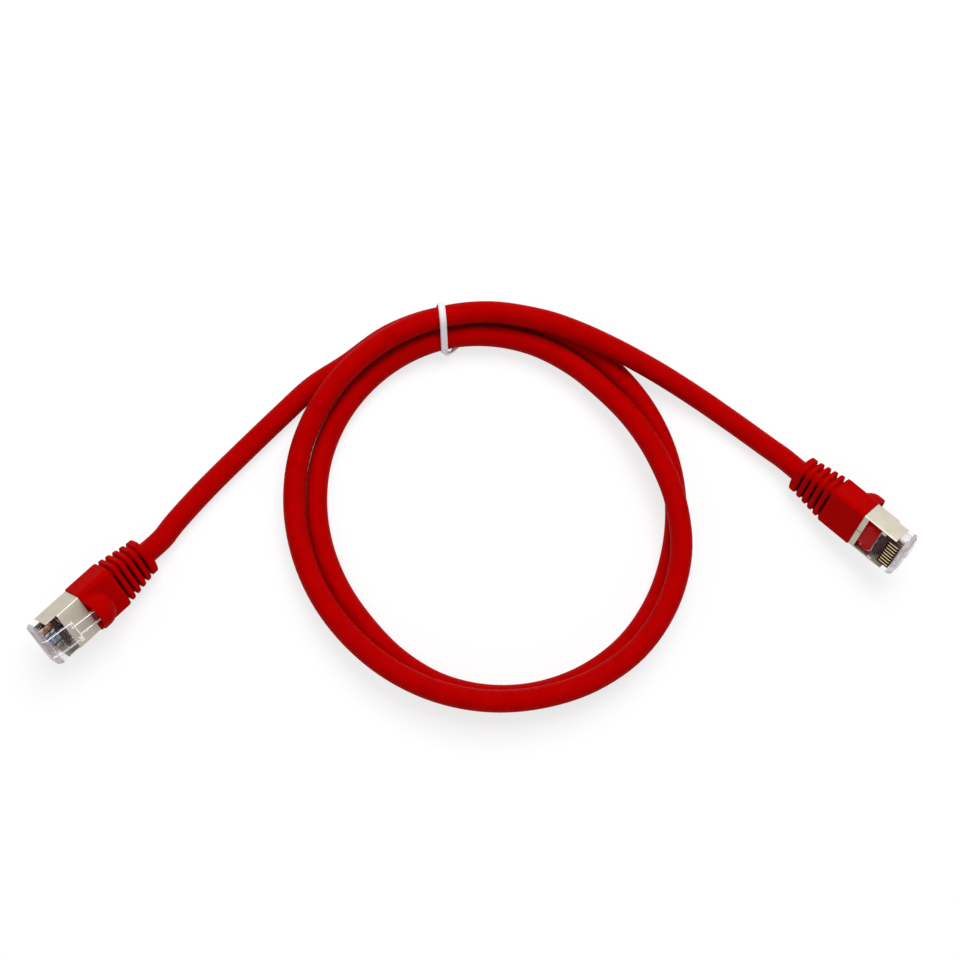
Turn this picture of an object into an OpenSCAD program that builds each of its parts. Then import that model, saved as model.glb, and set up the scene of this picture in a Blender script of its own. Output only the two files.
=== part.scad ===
// Ethernet patch cable: a shielded four-pair lead with an eight-contact plug and a
// ribbed boot on each end, wound twice round into an open loop and held by a tie.

/* [Plug housing] */
// Length of the housing from its rear rails to the nose
plug_l = 21.5; // [20.5:0.1:23]
// Width of the plug over its metal shield
plug_w = 11.6; // [11.4:0.1:12.6]
// Height of the housing where it grips the jacket
body_h = 6.5; // [6.4:0.1:7.2]
// Height lost on the latch side of the nose
nose_step = 0.55; // [0.3:0.05:0.8]
// Length of the full-width front, ahead of the boot
front_l = 13.4; // [13.4:0.1:14.5]
// Width of the two raised corners of the nose, beside the latch
ear_w = 1.4; // [1:0.1:1.8]
// Length of those corners
ear_l = 3.4; // [2.5:0.1:3.6]
// Bevel on the nose edge at the contacts
nose_bevel = 0.9; // [0.4:0.1:1.2]
// Width over the two rear rails that the boot covers
rail_w = 9.6; // [8.6:0.1:10]
// Height of the rear rails
rail_h = 5.9; // [5:0.1:6]
// Length of jacket gripped ahead of the shoulder
grip_l = 4.4; // [3.5:0.1:5]

/* [Contacts and wires] */
// Distance from one contact to the next
contact_pitch = 1.02; // [0.95:0.01:1.05]
// Thickness of a contact blade
contact_t = 0.35; // [0.25:0.05:0.4]
// Length of a contact blade
contact_l = 3.4; // [2.8:0.1:3.6]
// Distance from the nose to the blades
contact_setback = 1.6; // [1.4:0.1:2]
// Depth of the blades below the contact face
contact_sink = 0.2; // [0.1:0.05:0.4]
// Diameter of one insulated wire
wire_d = 0.8; // [0.6:0.05:0.8]
// Height of the middle of the two wire rows, from the cable axis
wire_row_z = -0.3; // [-0.4:0.05:-0.2]
// Height between the two wire rows
wire_stagger = 0.5; // [0.3:0.05:0.6]
// Length of the load bar that combs the wires
bar_l = 1.2; // [0.8:0.1:1.4]
// Height of the load bar
bar_h = 2.6; // [2.2:0.1:2.6]
// Height of the lead-in where the wires spread, ahead of the jacket's end
lead_in_h = 4.2; // [3.8:0.1:4.4]

/* [Shield] */
// Thickness of the folded metal
shield_t = 0.2; // [0.15:0.05:0.3]
// Bare plastic left between the shield and the nose
shield_setback = 3.2; // [2.8:0.1:3.5]
// Length of the shield on the latch side
shield_top_l = 6.8; // [5:0.1:7]
// Length of the strip folded across the contact side
strip_l = 1.4; // [1:0.1:2]
// Gap of the seam in that strip
seam_gap = 0.3; // [0.2:0.05:0.5]
// Length of each small tab beside the wires
tab_l = 1.2; // [0.8:0.1:1.5]
// Reach of each small tab over the contact side
tab_w = 1; // [0.6:0.1:1.2]
// Length of the crimped sleeve round the jacket
sleeve_l = 2.2; // [1.5:0.1:2.8]

/* [Latch] */
// Width of the latch tail
latch_w = 3.4; // [3:0.1:3.6]
// Width of the latch shoulders
shoulder_w = 6; // [5.6:0.1:6.2]
// Thickness of the latch
latch_t = 0.95; // [0.8:0.05:1]
// Length of the latch from its hinge to the tail tip
latch_l = 14.6; // [13.5:0.1:14.7]
// Length of the shoulders from the hinge
shoulder_l = 8.3; // [7.5:0.1:8.8]
// Slope of the latch at rest, in degrees
latch_slope = 10.4; // [10:0.1:10.6]
// Distance of the hinge's axis behind the nose
hinge_setback = 0.3; // [0.2:0.1:0.6]
// Height of the catch step on the shoulders
catch_h = 0.6; // [0.4:0.1:0.8]
// Radius of the rounded hinge root
hinge_r = 0.55; // [0.45:0.05:0.6]
// Clearance round the hinge root
hinge_gap = 0.1; // [0.08:0.01:0.15]

/* [Boot] */
// Length of the boot
boot_l = 21.75; // [20.5:0.25:25]
// Width of the boot at the plug
boot_w = 12.6; // [12.2:0.1:13]
// Height of the boot at the plug
boot_h = 8; // [7.8:0.1:8.6]
// Corner radius of the boot at the plug
boot_r = 1.4; // [1:0.1:2]
// Length of the boot ahead of its ribbed tail
boot_body_l = 10; // [8.5:0.1:10.5]
// Number of strain-relief ribs between the boot's body and the end collar
rib_count = 4; // [3:1:4]
// Distance from one rib to the next
rib_pitch = 2.1; // [1.9:0.1:2.2]
// Width of the mouth of the V grooves between the ribs
groove_w = 1.3; // [0.8:0.1:1.4]
// Width left between the bottoms of the grooves at the two sides
groove_floor_w = 8.4; // [7.8:0.1:8.8]
// Depth of the grooves above and below
groove_flat = 0.7; // [0.4:0.05:0.75]
// Width of the end collar
collar_w = 9.9; // [9.4:0.1:10.5]
// Height of the end collar
collar_h = 7.8; // [7.7:0.1:8.4]
// Corner radius of the end collar
collar_r = 2.6; // [2:0.1:3.2]
// Length of the bevel behind the end collar
collar_bevel = 0.9; // [0.5:0.1:1.2]
// Diameter of the boot's mouth round the cable, where the bevel starts
mouth_d = 6.8; // [6.5:0.1:7.4]
// Outer radius of the domed hood over the latch tail
hood_r = 4.6; // [4.4:0.05:4.8]
// Wall of the hood
hood_t = 0.7; // [0.6:0.05:0.75]
// Height of the hood's centre above the cable axis
hood_rise = 5.3; // [5.1:0.1:5.5]
// Length of the hood's straight front, ahead of its dome
hood_l = 1.7; // [1.2:0.1:2.2]

/* [Cable] */
// Outer diameter of the jacket
jacket_d = 5.8; // [5.4:0.1:5.8]
// Wall of the jacket
jacket_t = 0.5; // [0.35:0.05:0.5]
// Thickness of the foil screen
foil_t = 0.12; // [0.1:0.01:0.14]
// Diameter over one twisted pair
pair_d = 1.7; // [1.5:0.05:1.7]
// Diameter of the bare drain wire
drain_d = 0.4; // [0.3:0.05:0.4]

/* [Tie] */
// Width of the coated tie along the cable
tie_w = 1.8; // [1.4:0.1:2.4]
// Thickness of the coated tie
tie_t = 0.9; // [0.7:0.05:0.9]
// Thickness of the wire inside the tie
tie_wire_t = 0.4; // [0.3:0.05:0.5]
// Length of the twisted end of the tie
twist_l = 9; // [6:0.5:12]
// Diameter of one strand of the twisted end
twist_d = 0.6; // [0.5:0.05:0.6]
// Turn of the tie from square across the cable, in degrees
tie_turn = 9; // [0:1:10]

/* [Fits] */
// Clearance between pieces that slide into each other
fit = 0.05; // [0.04:0.01:0.08]
// Clearance between the cable and the tie
tie_gap = 0.25; // [0.2:0.05:0.3]

/* [Hidden] */
// Wires in the order of the contacts, and the pairs by their place in the cable
WIRES = ["white_orange", "orange", "white_green", "blue",
         "white_blue", "green", "white_brown", "brown"];
PAIRS = ["brown", "blue", "orange", "green"];
WIRE_COLOURS = ["#f0c9a0", "#e07818", "#bfe3bf", "#1f50b4",
                "#bcd0f0", "#1f8c3c", "#d9c4b0", "#6b4226"];
PAIR_COLOURS = ["#6b4226", "#1f50b4", "#e07818", "#1f8c3c"];

// Colours
CLEAR = [0.93, 0.9, 0.92, 0.45];
METAL = [0.78, 0.76, 0.7];
GOLD = [0.8, 0.66, 0.36];
RED = [0.72, 0, 0];
WHITE = [0.95, 0.94, 0.96];

// Each plug: the centre of its boot's tail, then yaw, nose-up pitch and roll
PLUG_A = [[-86.3, 0.5, 5], [226.5, 15, -41]];
PLUG_B = [[85.5, 23.6, 5.3], [-44, 14.5, -119]];

// Places along a plug, from the boot's tail at 0 towards the nose
shoulder_x = boot_l + shield_t + fit;
nose_x = shoulder_x + front_l;
rear_x = nose_x - plug_l;
jacket_end_x = shoulder_x + grip_l;
blade_x = nose_x - contact_setback - contact_l;
bar_x = blade_x - 1.5 * fit - bar_l;
wire_end_x = nose_x - contact_setback - fit;
cavity_end_x = nose_x - contact_setback + 4 * fit;
hinge_x = nose_x - hinge_setback;
body_x = boot_l - boot_body_l;
collar_l = body_x - rib_pitch * rib_count - groove_w;

// Heights and widths in a plug, and how far a cutter runs past the faces it cuts
past = 1;
housing_w = plug_w - 2 * shield_t;
nose_top_z = body_h / 2 - nose_step;
hinge_z = nose_top_z + hinge_r - 0.15;
step_x = shoulder_x + shield_top_l + 3 * fit;
step_run = 1;
slot_w = contact_t + 2 * fit;
cavity_w = len(WIRES) * contact_pitch + 0.1;
cavity_low_z = wire_row_z - bar_h / 2;
bore_r = jacket_d / 2 + fit;
sleeve_t = shield_t + fit;
strap_y = rail_w / 2;
strap_h = rail_h - 10 * fit;
blade_low_z = contact_sink - body_h / 2;

// The cable's core
foil_r = jacket_d / 2 - jacket_t - 0.4 * fit;
core_r = (foil_r - foil_t) * cos(22.5);
pair_off = core_r - pair_d / 2 - 0.2 * fit;
drain_off = core_r - drain_d / 2 - 0.8 * fit;
wire_off = min(pair_d / 4, wire_d / 2 + 0.5 * fit);

// The two turns of the loop: a radius and a height of the cable's centreline every
// 30 degrees, clockwise from just left of the tie, and the loop's centre
loop_at = [2.4, 14.3];
loop_start = -45;
loop_step = 30;
loop_radii = [53, 52.2, 51.25, 50, 50, 50.5, 51.75, 51, 48.75, 45.25, 44.75, 45.5, 46, 45.9, 44.9,
              43.75, 46.25, 52, 54.25, 52.5, 51, 50, 50.25, 51, 50.75, 50.5, 50.75];
loop_heights = [3.1, 4.2, 3, 3, 3, 3, 3, 3, 3, 3, 3, 3, 3.4, 5, 4.4, 5.6, 8.9, 9.4,
                9.4, 9.4, 9.2, 7.8, 6.2, 6.8, 9.4, 10.4, 9.5];
rings_per_turn = 24;

// The free stretches between each boot and the loop
LEG_A = [[-78.9, 9.4, 3.1], [-71.2, 18.3, 3], [-61.4, 28.5, 3], [-51.7, 38.3, 3],
         [-44, 45.7, 3]];
LEG_B = [[25.5, 60.2, 9.4], [36.2, 55.6, 8.5], [47.6, 50.1, 6.1], [58.9, 43.6, 3.9],
         [69.3, 36.6, 3], [77.7, 30.3, 3.5]];

// The place of a point of a plug: turned by its roll, pitch and yaw, then moved
function rolled(v, a) = [v.x, v.y * cos(a) - v.z * sin(a), v.y * sin(a) + v.z * cos(a)];
function pitched(v, a) = [v.x * cos(a) - v.z * sin(a), v.y, v.x * sin(a) + v.z * cos(a)];
function yawed(v, a) = [v.x * cos(a) - v.y * sin(a), v.x * sin(a) + v.y * cos(a), v.z];
function on_plug(plug, v) =
    plug[0] + yawed(pitched(rolled(v, plug[1][2]), plug[1][1]), plug[1][0]);

// A value read from evenly spaced stations along a smooth curve
function blend4(a, b, c, d, t) =
    b + t / 2 * (c - a + t * (2 * a - 5 * b + 4 * c - d + t * (3 * (b - c) + d - a)));
function station(list, s) =
    let (n = len(list) - 1, i = min(floor(s), n - 1))
    blend4(list[max(i - 1, 0)], list[i], list[i + 1], list[min(i + 2, n)], s - i);

// The cable's centreline: plug A, leg A, the loop, leg B and plug B
function loop_point(a) =
    let (s = (a - loop_start) / loop_step, r = station(loop_radii, s))
    [loop_at.x + r * sin(a), loop_at.y + r * cos(a), station(loop_heights, s)];
loop_end = loop_start + loop_step * (len(loop_radii) - 1);
loop_points = [for (a = [loop_start : 360 / rings_per_turn : loop_end]) loop_point(a)];
PLUG_STOPS = [jacket_end_x, rear_x, 0, -jacket_d];
stops = len(PLUG_STOPS);
route = concat(
    [for (i = [0 : stops - 1]) on_plug(PLUG_A, [PLUG_STOPS[i], 0, 0])],
    LEG_A, loop_points, LEG_B,
    [for (i = [stops - 1 : -1 : 0]) on_plug(PLUG_B, [PLUG_STOPS[i], 0, 0])]);
route_last = len(route) - 1;
coil_first = stops + len(LEG_A);
coil_last = coil_first + len(loop_points) - 1;

// Turn of the core about the cable, so that its pairs meet the wires in each plug
turn_a = PLUG_A[1][2];
turn_b = -180 - PLUG_B[1][2];
function core_turn(i) =
    i < coil_first ? turn_a * (1 - max(i - stops, 0) / (coil_first - stops)) :
    i > coil_last ? turn_b * min((i - coil_last) / (route_last - stops - coil_last), 1) : 0;

// Rings of a tube swept along points, each square to the curve
function unit(v) = v / norm(v);
function along(p, i) = unit(p[min(i + 1, len(p) - 1)] - p[max(i - 1, 0)]);
function ring(p, i, r, sides, turn, off) =
    let (t = along(p, i), s = unit(cross(t, [0, 0, 1])), u = cross(s, t),
         c = p[i] + off * (cos(turn) * s + sin(turn) * u))
    [for (k = [0 : sides - 1]) c + r * (cos(360 * k / sides) * s + sin(360 * k / sides) * u)];

// Triangles of a tube's wall between ring after ring, facing out or in
function wall(from, rings, n, out) = [
    for (i = [0 : rings - 2], k = [0 : n - 1])
        let (a = from + i * n + k, b = from + i * n + (k + 1) % n, c = a + n, d = b + n)
        each (out ? [[a, c, b], [b, c, d]] : [[a, b, c], [b, d, c]])];
// Triangles that close a solid tube's end, or join a hollow tube's two walls
function cap(from, n, first) =
    [for (k = [1 : n - 2]) first ? [from, from + k, from + k + 1] : [from, from + k + 1, from + k]];
function rim(outer, inner, n, first) = [
    for (k = [0 : n - 1])
        let (a = outer + k, b = outer + (k + 1) % n, c = inner + k, d = inner + (k + 1) % n)
        each (first ? [[a, b, c], [b, d, c]] : [[a, c, b], [b, c, d]])];

module solid_tube(p, r, sides) {
    n = len(p);
    polyhedron(
        [for (i = [0 : n - 1]) each ring(p, i, r, sides, 0, 0)],
        concat(wall(0, n, sides, true), cap(0, sides, true), cap((n - 1) * sides, sides, false)));
}

// One strand of the core, held at a distance from the cable's centreline
module core_strand(r, sides, off, turn) {
    polyhedron(
        [for (i = [0 : route_last]) each ring(route, i, r, sides, turn + core_turn(i), off)],
        concat(wall(0, route_last + 1, sides, true), cap(0, sides, true),
               cap(route_last * sides, sides, false)));
}

// A hollow stretch of the cable from one ring of the route to another
module sleeve(first, last, r_out, r_in) {
    sides = 8;
    rings = last - first + 1;
    polyhedron(
        concat([for (i = [first : last]) each ring(route, i, r_out, sides, 0, 0)],
               [for (i = [first : last]) each ring(route, i, r_in, sides, 0, 0)]),
        concat(wall(0, rings, sides, true), wall(rings * sides, rings, sides, false),
               rim(0, rings * sides, sides, true),
               rim((rings - 1) * sides, (2 * rings - 1) * sides, sides, false)));
}

// Least gap between stretches of the cable that pass each other, from points taken
// four to a ring spacing and compared when over three rings apart
finer = 4;
apart = 3;
fine = [for (i = [0 : route_last - 1], k = [0 : finer - 1])
            route[i] + (route[i + 1] - route[i]) * k / finer];
gaps = [for (i = [0 : len(fine) - 1], j = [i + apart * finer + 1 : 1 : len(fine) - 1])
            norm(fine[i] - fine[j])];
lengths = [for (i = [1 : route_last]) norm(route[i] - route[i - 1])];
function total(v, i = 0) = i < len(v) ? v[i] + total(v, i + 1) : 0;
echo(least_gap = min(gaps) - jacket_d, rings = route_last + 1, jacket_length = total(lengths));

// A solid of plug section laid along the plug: its profile is drawn as width by height
module along_plug(x, l) {
    translate([x, 0, 0]) rotate([90, 0, 90]) linear_extrude(l) children();
}

// A side view in length and height, given a width across the plug
module across_plug(w) {
    rotate([90, 0, 0]) linear_extrude(w, center = true) children();
}

module rounded(w, h, r) {
    square([w - 2 * r, h], center = true);
    square([w, h - 2 * r], center = true);
    for (x = [-1, 1], y = [-1, 1])
        translate([x * (w / 2 - r), y * (h / 2 - r)]) circle(r, $fn = 16);
}

module bore(x, l, r) {
    translate([x, 0, 0]) rotate([0, 90, 0]) cylinder(l, r = r, $fn = 32);
}

module placed(plug) {
    translate(plug[0]) rotate([0, 0, plug[1][0]]) rotate([0, -plug[1][1], 0])
        rotate([plug[1][2], 0, 0]) children();
}

// Where a wire or contact lies: its distance across the plug and its row height
function slot_y(i) = (i - (len(WIRES) - 1) / 2) * contact_pitch;
function slot_z(i) = wire_row_z + (i % 2 == 0 ? 0.5 : -0.5) * wire_stagger;

module housing() {
    low = -body_h / 2;
    color(CLEAR) difference() {
        union() {
            across_plug(housing_w) polygon([
                [shoulder_x, low], [nose_x - nose_bevel, low], [nose_x, low + nose_bevel],
                [nose_x, nose_top_z - nose_bevel], [nose_x - nose_bevel / 2, nose_top_z],
                [step_x + step_run, nose_top_z], [step_x, body_h / 2], [shoulder_x, body_h / 2]]);
            for (s = [-1, 1]) {
                translate([rear_x, s > 0 ? bore_r : -rail_w / 2, -rail_h / 2])
                    cube([shoulder_x - rear_x + fit, rail_w / 2 - bore_r, rail_h]);
                translate([0, s * (housing_w - ear_w) / 2, 0]) across_plug(ear_w) polygon([
                    [nose_x - ear_l, nose_top_z - fit], [nose_x - nose_bevel / 2, nose_top_z - fit],
                    [nose_x - nose_bevel / 2, nose_top_z], [nose_x - nose_bevel, body_h / 2],
                    [nose_x - ear_l, body_h / 2]]);
            }
        }
        bore(shoulder_x - 2 * fit, jacket_end_x - shoulder_x + 2 * fit, bore_r);
        translate([jacket_end_x - fit, -cavity_w / 2, cavity_low_z])
            cube([cavity_end_x - jacket_end_x + fit, cavity_w, bar_h]);
        translate([jacket_end_x - fit, -cavity_w / 2, -lead_in_h / 2])
            cube([bar_x - jacket_end_x, cavity_w, lead_in_h]);
        for (i = [0 : len(WIRES) - 1])
            translate([blade_x - fit, slot_y(i) - slot_w / 2, low - past])
                cube([contact_l + 2 * fit, slot_w, cavity_low_z - low + past + fit]);
        translate([hinge_x, 0, hinge_z]) rotate([90, 0, 0])
            cylinder(shoulder_w + 2 * hinge_gap, r = hinge_r + hinge_gap, center = true, $fn = 32);
    }
}

// The latch, drawn along its own slope from the hinge back to the tail. Its underside
// lies a little above the hinge's axis, behind a narrow neck.
module latch() {
    under = 0.35;
    upper = under + latch_t;
    neck = 1.4;
    color(CLEAR) translate([hinge_x, 0, hinge_z]) {
        rotate([90, 0, 0]) cylinder(shoulder_w, r = hinge_r, center = true, $fn = 32);
        rotate([0, latch_slope, 0]) {
            across_plug(shoulder_w) polygon([
                [0.1, 0.05 - hinge_r], [hinge_r - 0.02, 0.1], [-neck / 2, upper],
                [1 - shoulder_l, upper], [1 - shoulder_l, upper + catch_h],
                [-shoulder_l, upper + catch_h], [-shoulder_l, under], [-neck, under],
                [-neck / 3, -0.3]]);
            translate([-latch_l, -latch_w / 2, under])
                cube([latch_l - shoulder_l + fit, latch_w, latch_t]);
        }
    }
}

module shield() {
    top = body_h / 2;
    side_l = front_l - shield_setback;
    color(METAL) {
        difference() {
            along_plug(shoulder_x - shield_t, side_l + shield_t)
                square([plug_w, body_h + 2 * shield_t], center = true);
            translate([shoulder_x, -housing_w / 2, -top]) cube([side_l + past, housing_w, body_h]);
            // open towards the nose on the latch side, and past the strip on the other
            translate([step_x - 3 * fit, -plug_w, top - nose_step])
                cube([side_l, 2 * plug_w, nose_step + 2 * shield_t]);
            translate([shoulder_x + strip_l, -housing_w / 2, -top - 2 * shield_t])
                cube([side_l, housing_w, 3 * shield_t]);
            translate([shoulder_x - 2 * shield_t, -seam_gap / 2, -top - 2 * shield_t])
                cube([strip_l + 4 * shield_t, seam_gap, 3 * shield_t]);
            // the rails and the jacket pass through the rear wall
            translate([shoulder_x - 2 * shield_t, -strap_y, -strap_h / 2])
                cube([4 * shield_t, 2 * strap_y, strap_h]);
            translate([shoulder_x - 2 * shield_t, -rail_w / 2, -rail_h / 2])
                cube([4 * shield_t, rail_w, rail_h]);
        }
        for (s = [-1, 1]) {
            translate([bar_x - tab_l, s > 0 ? housing_w / 2 - tab_w : -housing_w / 2, -top - shield_t])
                cube([tab_l, tab_w, shield_t]);
            translate([rear_x - shield_t, s > 0 ? strap_y : -strap_y - shield_t, -strap_h / 2])
                cube([shoulder_x - rear_x + shield_t, shield_t, strap_h]);
        }
        difference() {
            union() {
                translate([rear_x - shield_t, -strap_y, -strap_h / 2])
                    cube([shield_t, 2 * strap_y, strap_h]);
                bore(rear_x - sleeve_l, sleeve_l, bore_r + sleeve_t);
            }
            bore(rear_x - sleeve_l - past, sleeve_l + 2 * past, bore_r);
        }
    }
}

// A blade: a rounded contact edge, and a flank that reaches its wire
module contacts() {
    color(GOLD) for (i = [0 : len(WIRES) - 1])
        translate([blade_x, slot_y(i), 0]) across_plug(contact_t) {
            high = slot_z(i) - wire_d / 2 - 0.4 * fit;
            edge = 0.6;
            polygon([[0, blade_low_z + edge], [edge, blade_low_z], [contact_l - edge, blade_low_z],
                     [contact_l, blade_low_z + edge], [contact_l, high - edge],
                     [contact_l - edge, high], [edge, high], [0, high - edge]]);
            translate([contact_l - edge, blade_low_z + edge]) circle(edge, $fn = 24);
            translate([edge, blade_low_z + edge]) circle(edge, $fn = 24);
        }
}

module load_bar() {
    color(CLEAR) difference() {
        translate([bar_x, -cavity_w / 2 + fit, cavity_low_z])
            cube([bar_l, cavity_w - 2 * fit, bar_h - fit]);
        for (i = [0 : len(WIRES) - 1])
            translate([0, slot_y(i), slot_z(i)]) bore(bar_x - past, bar_l + 2 * past, wire_d / 2 + fit);
    }
}

// A wire leaves the jacket straight, then spreads to the load bar on a curve of a few steps
wire_lead = 0.25;
wire_steps = 4;

// Where each wire leaves its pair at the jacket's end: the pair's angle round the
// core, and which side of the pair the wire is on
WIRE_PAIR_TURN = [180, 180, 270, 90, 90, 270, 0, 0];
WIRE_PAIR_SIDE = [1, -1, -1, -1, 1, 1, 1, -1];

// A wire from the jacket's end, through the load bar, to the end of its slot.
// Plug B meets the cable's other end, so its upper and lower pairs change places.
module wire(i, flip) {
    a = WIRE_PAIR_TURN[i];
    level = a % 180 == 0;
    y0 = pair_off * cos(a) + (level ? 0 : wire_off * WIRE_PAIR_SIDE[i]);
    z0 = flip * pair_off * sin(a) + (level ? wire_off * WIRE_PAIR_SIDE[i] : 0);
    y1 = slot_y(i);
    z1 = slot_z(i);
    from = jacket_end_x + wire_lead;
    spread = bar_x - fit - from;
    color(WIRE_COLOURS[i]) solid_tube(concat(
        [[jacket_end_x, y0, z0]],
        [for (t = [0 : 1 / wire_steps : 1])
            let (s = t * t * (3 - 2 * t)) [from + spread * t, y0 + (y1 - y0) * s, z0 + (z1 - z0) * s]],
        [[wire_end_x, y1, z1]]), wire_d / 2, 6);
}

// The boot's width and height along its tail: t is 0 at the body and 1 at the collar
function tail_w(t) = boot_w + (collar_w - boot_w) * t;
function tail_h(t) = boot_h + (collar_h - boot_h) * t;
function rib_t(i) = 1 - (i + 1) / (rib_count + 1);

// A slab of the tapering tail
module boot_slice(x, l, t) {
    along_plug(x, l) rounded(tail_w(t), tail_h(t), boot_r + (collar_r - boot_r) * t);
}

// A V groove's cutter, pointing at the cable from a face at a distance from it
module groove(face, depth, w) {
    linear_extrude(w, center = true) polygon([
        [0, face - depth], [groove_w / 2, face], [groove_w / 2, face + past],
        [-groove_w / 2, face + past], [-groove_w / 2, face]]);
}

// The hood's round back and its straight front, which runs past the boot's end
module dome(r) {
    translate([boot_l - hood_l, 0, hood_rise]) rotate([0, 90, 0]) rotate_extrude($fn = 32)
        intersection() {
            union() {
                circle(r, $fn = 32);
                square([r, hood_l + past]);
            }
            translate([0, -r]) square([r, r + hood_l + past]);
        }
}

module boot() {
    color(RED) difference() {
        union() {
            along_plug(body_x, boot_l - body_x) rounded(boot_w, boot_h, boot_r);
            for (i = [0 : rib_count - 1])
                boot_slice(collar_l + groove_w / 2 + i * rib_pitch, rib_pitch + fit, rib_t(i));
            boot_slice(body_x - groove_w / 2, groove_w / 2 + fit, 0);
            boot_slice(collar_bevel, collar_l + groove_w / 2 - collar_bevel + fit, 1);
            intersection() {
                boot_slice(0, collar_bevel + fit, 1);
                rotate([0, 90, 0])
                    cylinder(collar_bevel + fit, r1 = mouth_d / 2, r2 = mouth_d / 2 + collar_w / 4, $fn = 32);
            }
            intersection() {
                dome(hood_r);
                translate([0, -boot_w, 0]) cube([boot_l, 2 * boot_w, 3 * hood_r]);
            }
        }
        for (i = [0 : rib_count], s = [-1, 1]) {
            t = rib_t(i - 0.5);
            translate([collar_l + groove_w / 2 + i * rib_pitch, 0, 0]) {
                rotate([s > 0 ? 0 : 180, 0, 0])
                    groove(tail_w(t) / 2, (tail_w(t) - groove_floor_w) / 2, 2 * boot_h);
                rotate([s * 90, 0, 0]) groove(tail_h(t) / 2, groove_flat, 2 * boot_w);
            }
        }
        // the latch tail's room under the hood
        intersection() {
            dome(hood_r - hood_t);
            translate([0, -hood_r, boot_h / 2]) cube([2 * boot_l, 2 * hood_r, 2 * hood_r]);
        }
        // the plug's rails and straps, the crimped sleeve and the cable
        translate([rear_x - shield_t - fit, -strap_y - shield_t - fit, -rail_h / 2 - fit])
            cube([boot_l, 2 * (strap_y + shield_t + fit), rail_h + 2 * fit]);
        bore(rear_x - sleeve_l - fit, sleeve_l + 2 * fit, bore_r + sleeve_t + fit);
        bore(-past, boot_l, bore_r);
    }
}

// The tie's bundle, seen along the cable: the strand below, the one beside it and the
// one on top, as distance out from the inner strand and height
tie_angle = loop_start + loop_step;
tie_at = loop_point(tie_angle + 360);
function out_of(p) = norm([p.x - loop_at.x, p.y - loop_at.y]);
tie_strands = [for (turn = [0 : 2])
    let (p = loop_point(tie_angle + 360 * turn)) [out_of(p) - out_of(tie_at), p.z - tie_at.z]];

module bundle_outline(grow) {
    hull() for (s = tie_strands) translate(s) circle(jacket_d / 2 + grow, $fn = 32);
}

module tie_band(low, high, w) {
    translate(tie_at) rotate([0, 0, -tie_angle - tie_turn]) rotate([90, 0, 90])
        linear_extrude(w, center = true) difference() {
            bundle_outline(high);
            bundle_outline(low);
        }
}

module tie_coating() {
    inner = (tie_t - tie_wire_t) / 2;
    tail = [tie_w / 4, -jacket_d / 3, -(jacket_d / 2 + 0.9 * twist_d)];
    tail_turn = 102;
    tail_drop = 3;
    color(WHITE) {
        difference() {
            tie_band(tie_gap, tie_gap + tie_t, tie_w);
            tie_band(tie_gap + inner, tie_gap + inner + tie_wire_t, tie_wire_t);
        }
        // the twisted end, lying under the inner strand
        translate(tie_at) rotate([0, 0, -tie_angle - tie_turn])
            translate(tail) rotate([90 + tail_drop, 0, tail_turn])
                linear_extrude(twist_l, twist = -720, slices = 18)
                    for (s = [-1, 1]) translate([s * twist_d * 0.45, 0]) circle(twist_d / 2, $fn = 8);
    }
}

module tie_wire() {
    inner = (tie_t - tie_wire_t) / 2;
    color(METAL) tie_band(tie_gap + inner, tie_gap + inner + tie_wire_t, tie_wire_t);
}

module jacket(first, last) {
    color(RED) sleeve(first, last, jacket_d / 2, jacket_d / 2 - jacket_t);
}

module foil_screen() {
    color(METAL) sleeve(0, route_last, foil_r, foil_r - foil_t);
}

module drain_wire() {
    color(METAL) core_strand(drain_d / 2, 4, drain_off, 45);
}

module pair(i) {
    color(PAIR_COLOURS[i]) core_strand(pair_d / 2, 6, pair_off, 90 * i);
}

jacket(0, coil_first);  // jacket_leg_a
jacket(coil_first, coil_last);  // jacket_coil
jacket(coil_last, route_last);  // jacket_leg_b
foil_screen();
drain_wire();
for (i = [0 : len(PAIRS) - 1])
    pair(i);
placed(PLUG_A) housing();  // housing_a
placed(PLUG_B) housing();  // housing_b
placed(PLUG_A) latch();  // latch_a
placed(PLUG_B) latch();  // latch_b
placed(PLUG_A) shield();  // shield_a
placed(PLUG_B) shield();  // shield_b
placed(PLUG_A) contacts();  // contacts_a
placed(PLUG_B) contacts();  // contacts_b
placed(PLUG_A) load_bar();  // load_bar_a
placed(PLUG_B) load_bar();  // load_bar_b
placed(PLUG_A) boot();  // boot_a
placed(PLUG_B) boot();  // boot_b
for (i = [0 : len(WIRES) - 1]) {
    placed(PLUG_A) wire(i, 1);
    placed(PLUG_B) wire(i, -1);
}
tie_coating();
tie_wire();
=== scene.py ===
"""Ethernet patch cable: its looks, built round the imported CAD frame.

The object's frame is in metres. A plug's own frame and the tie's are in millimetres, and
plug_matrix and tie_frame bring them to the object's.
"""

import math

import bmesh
import bpy
import numpy as np
from mathutils import Matrix, Vector


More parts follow.
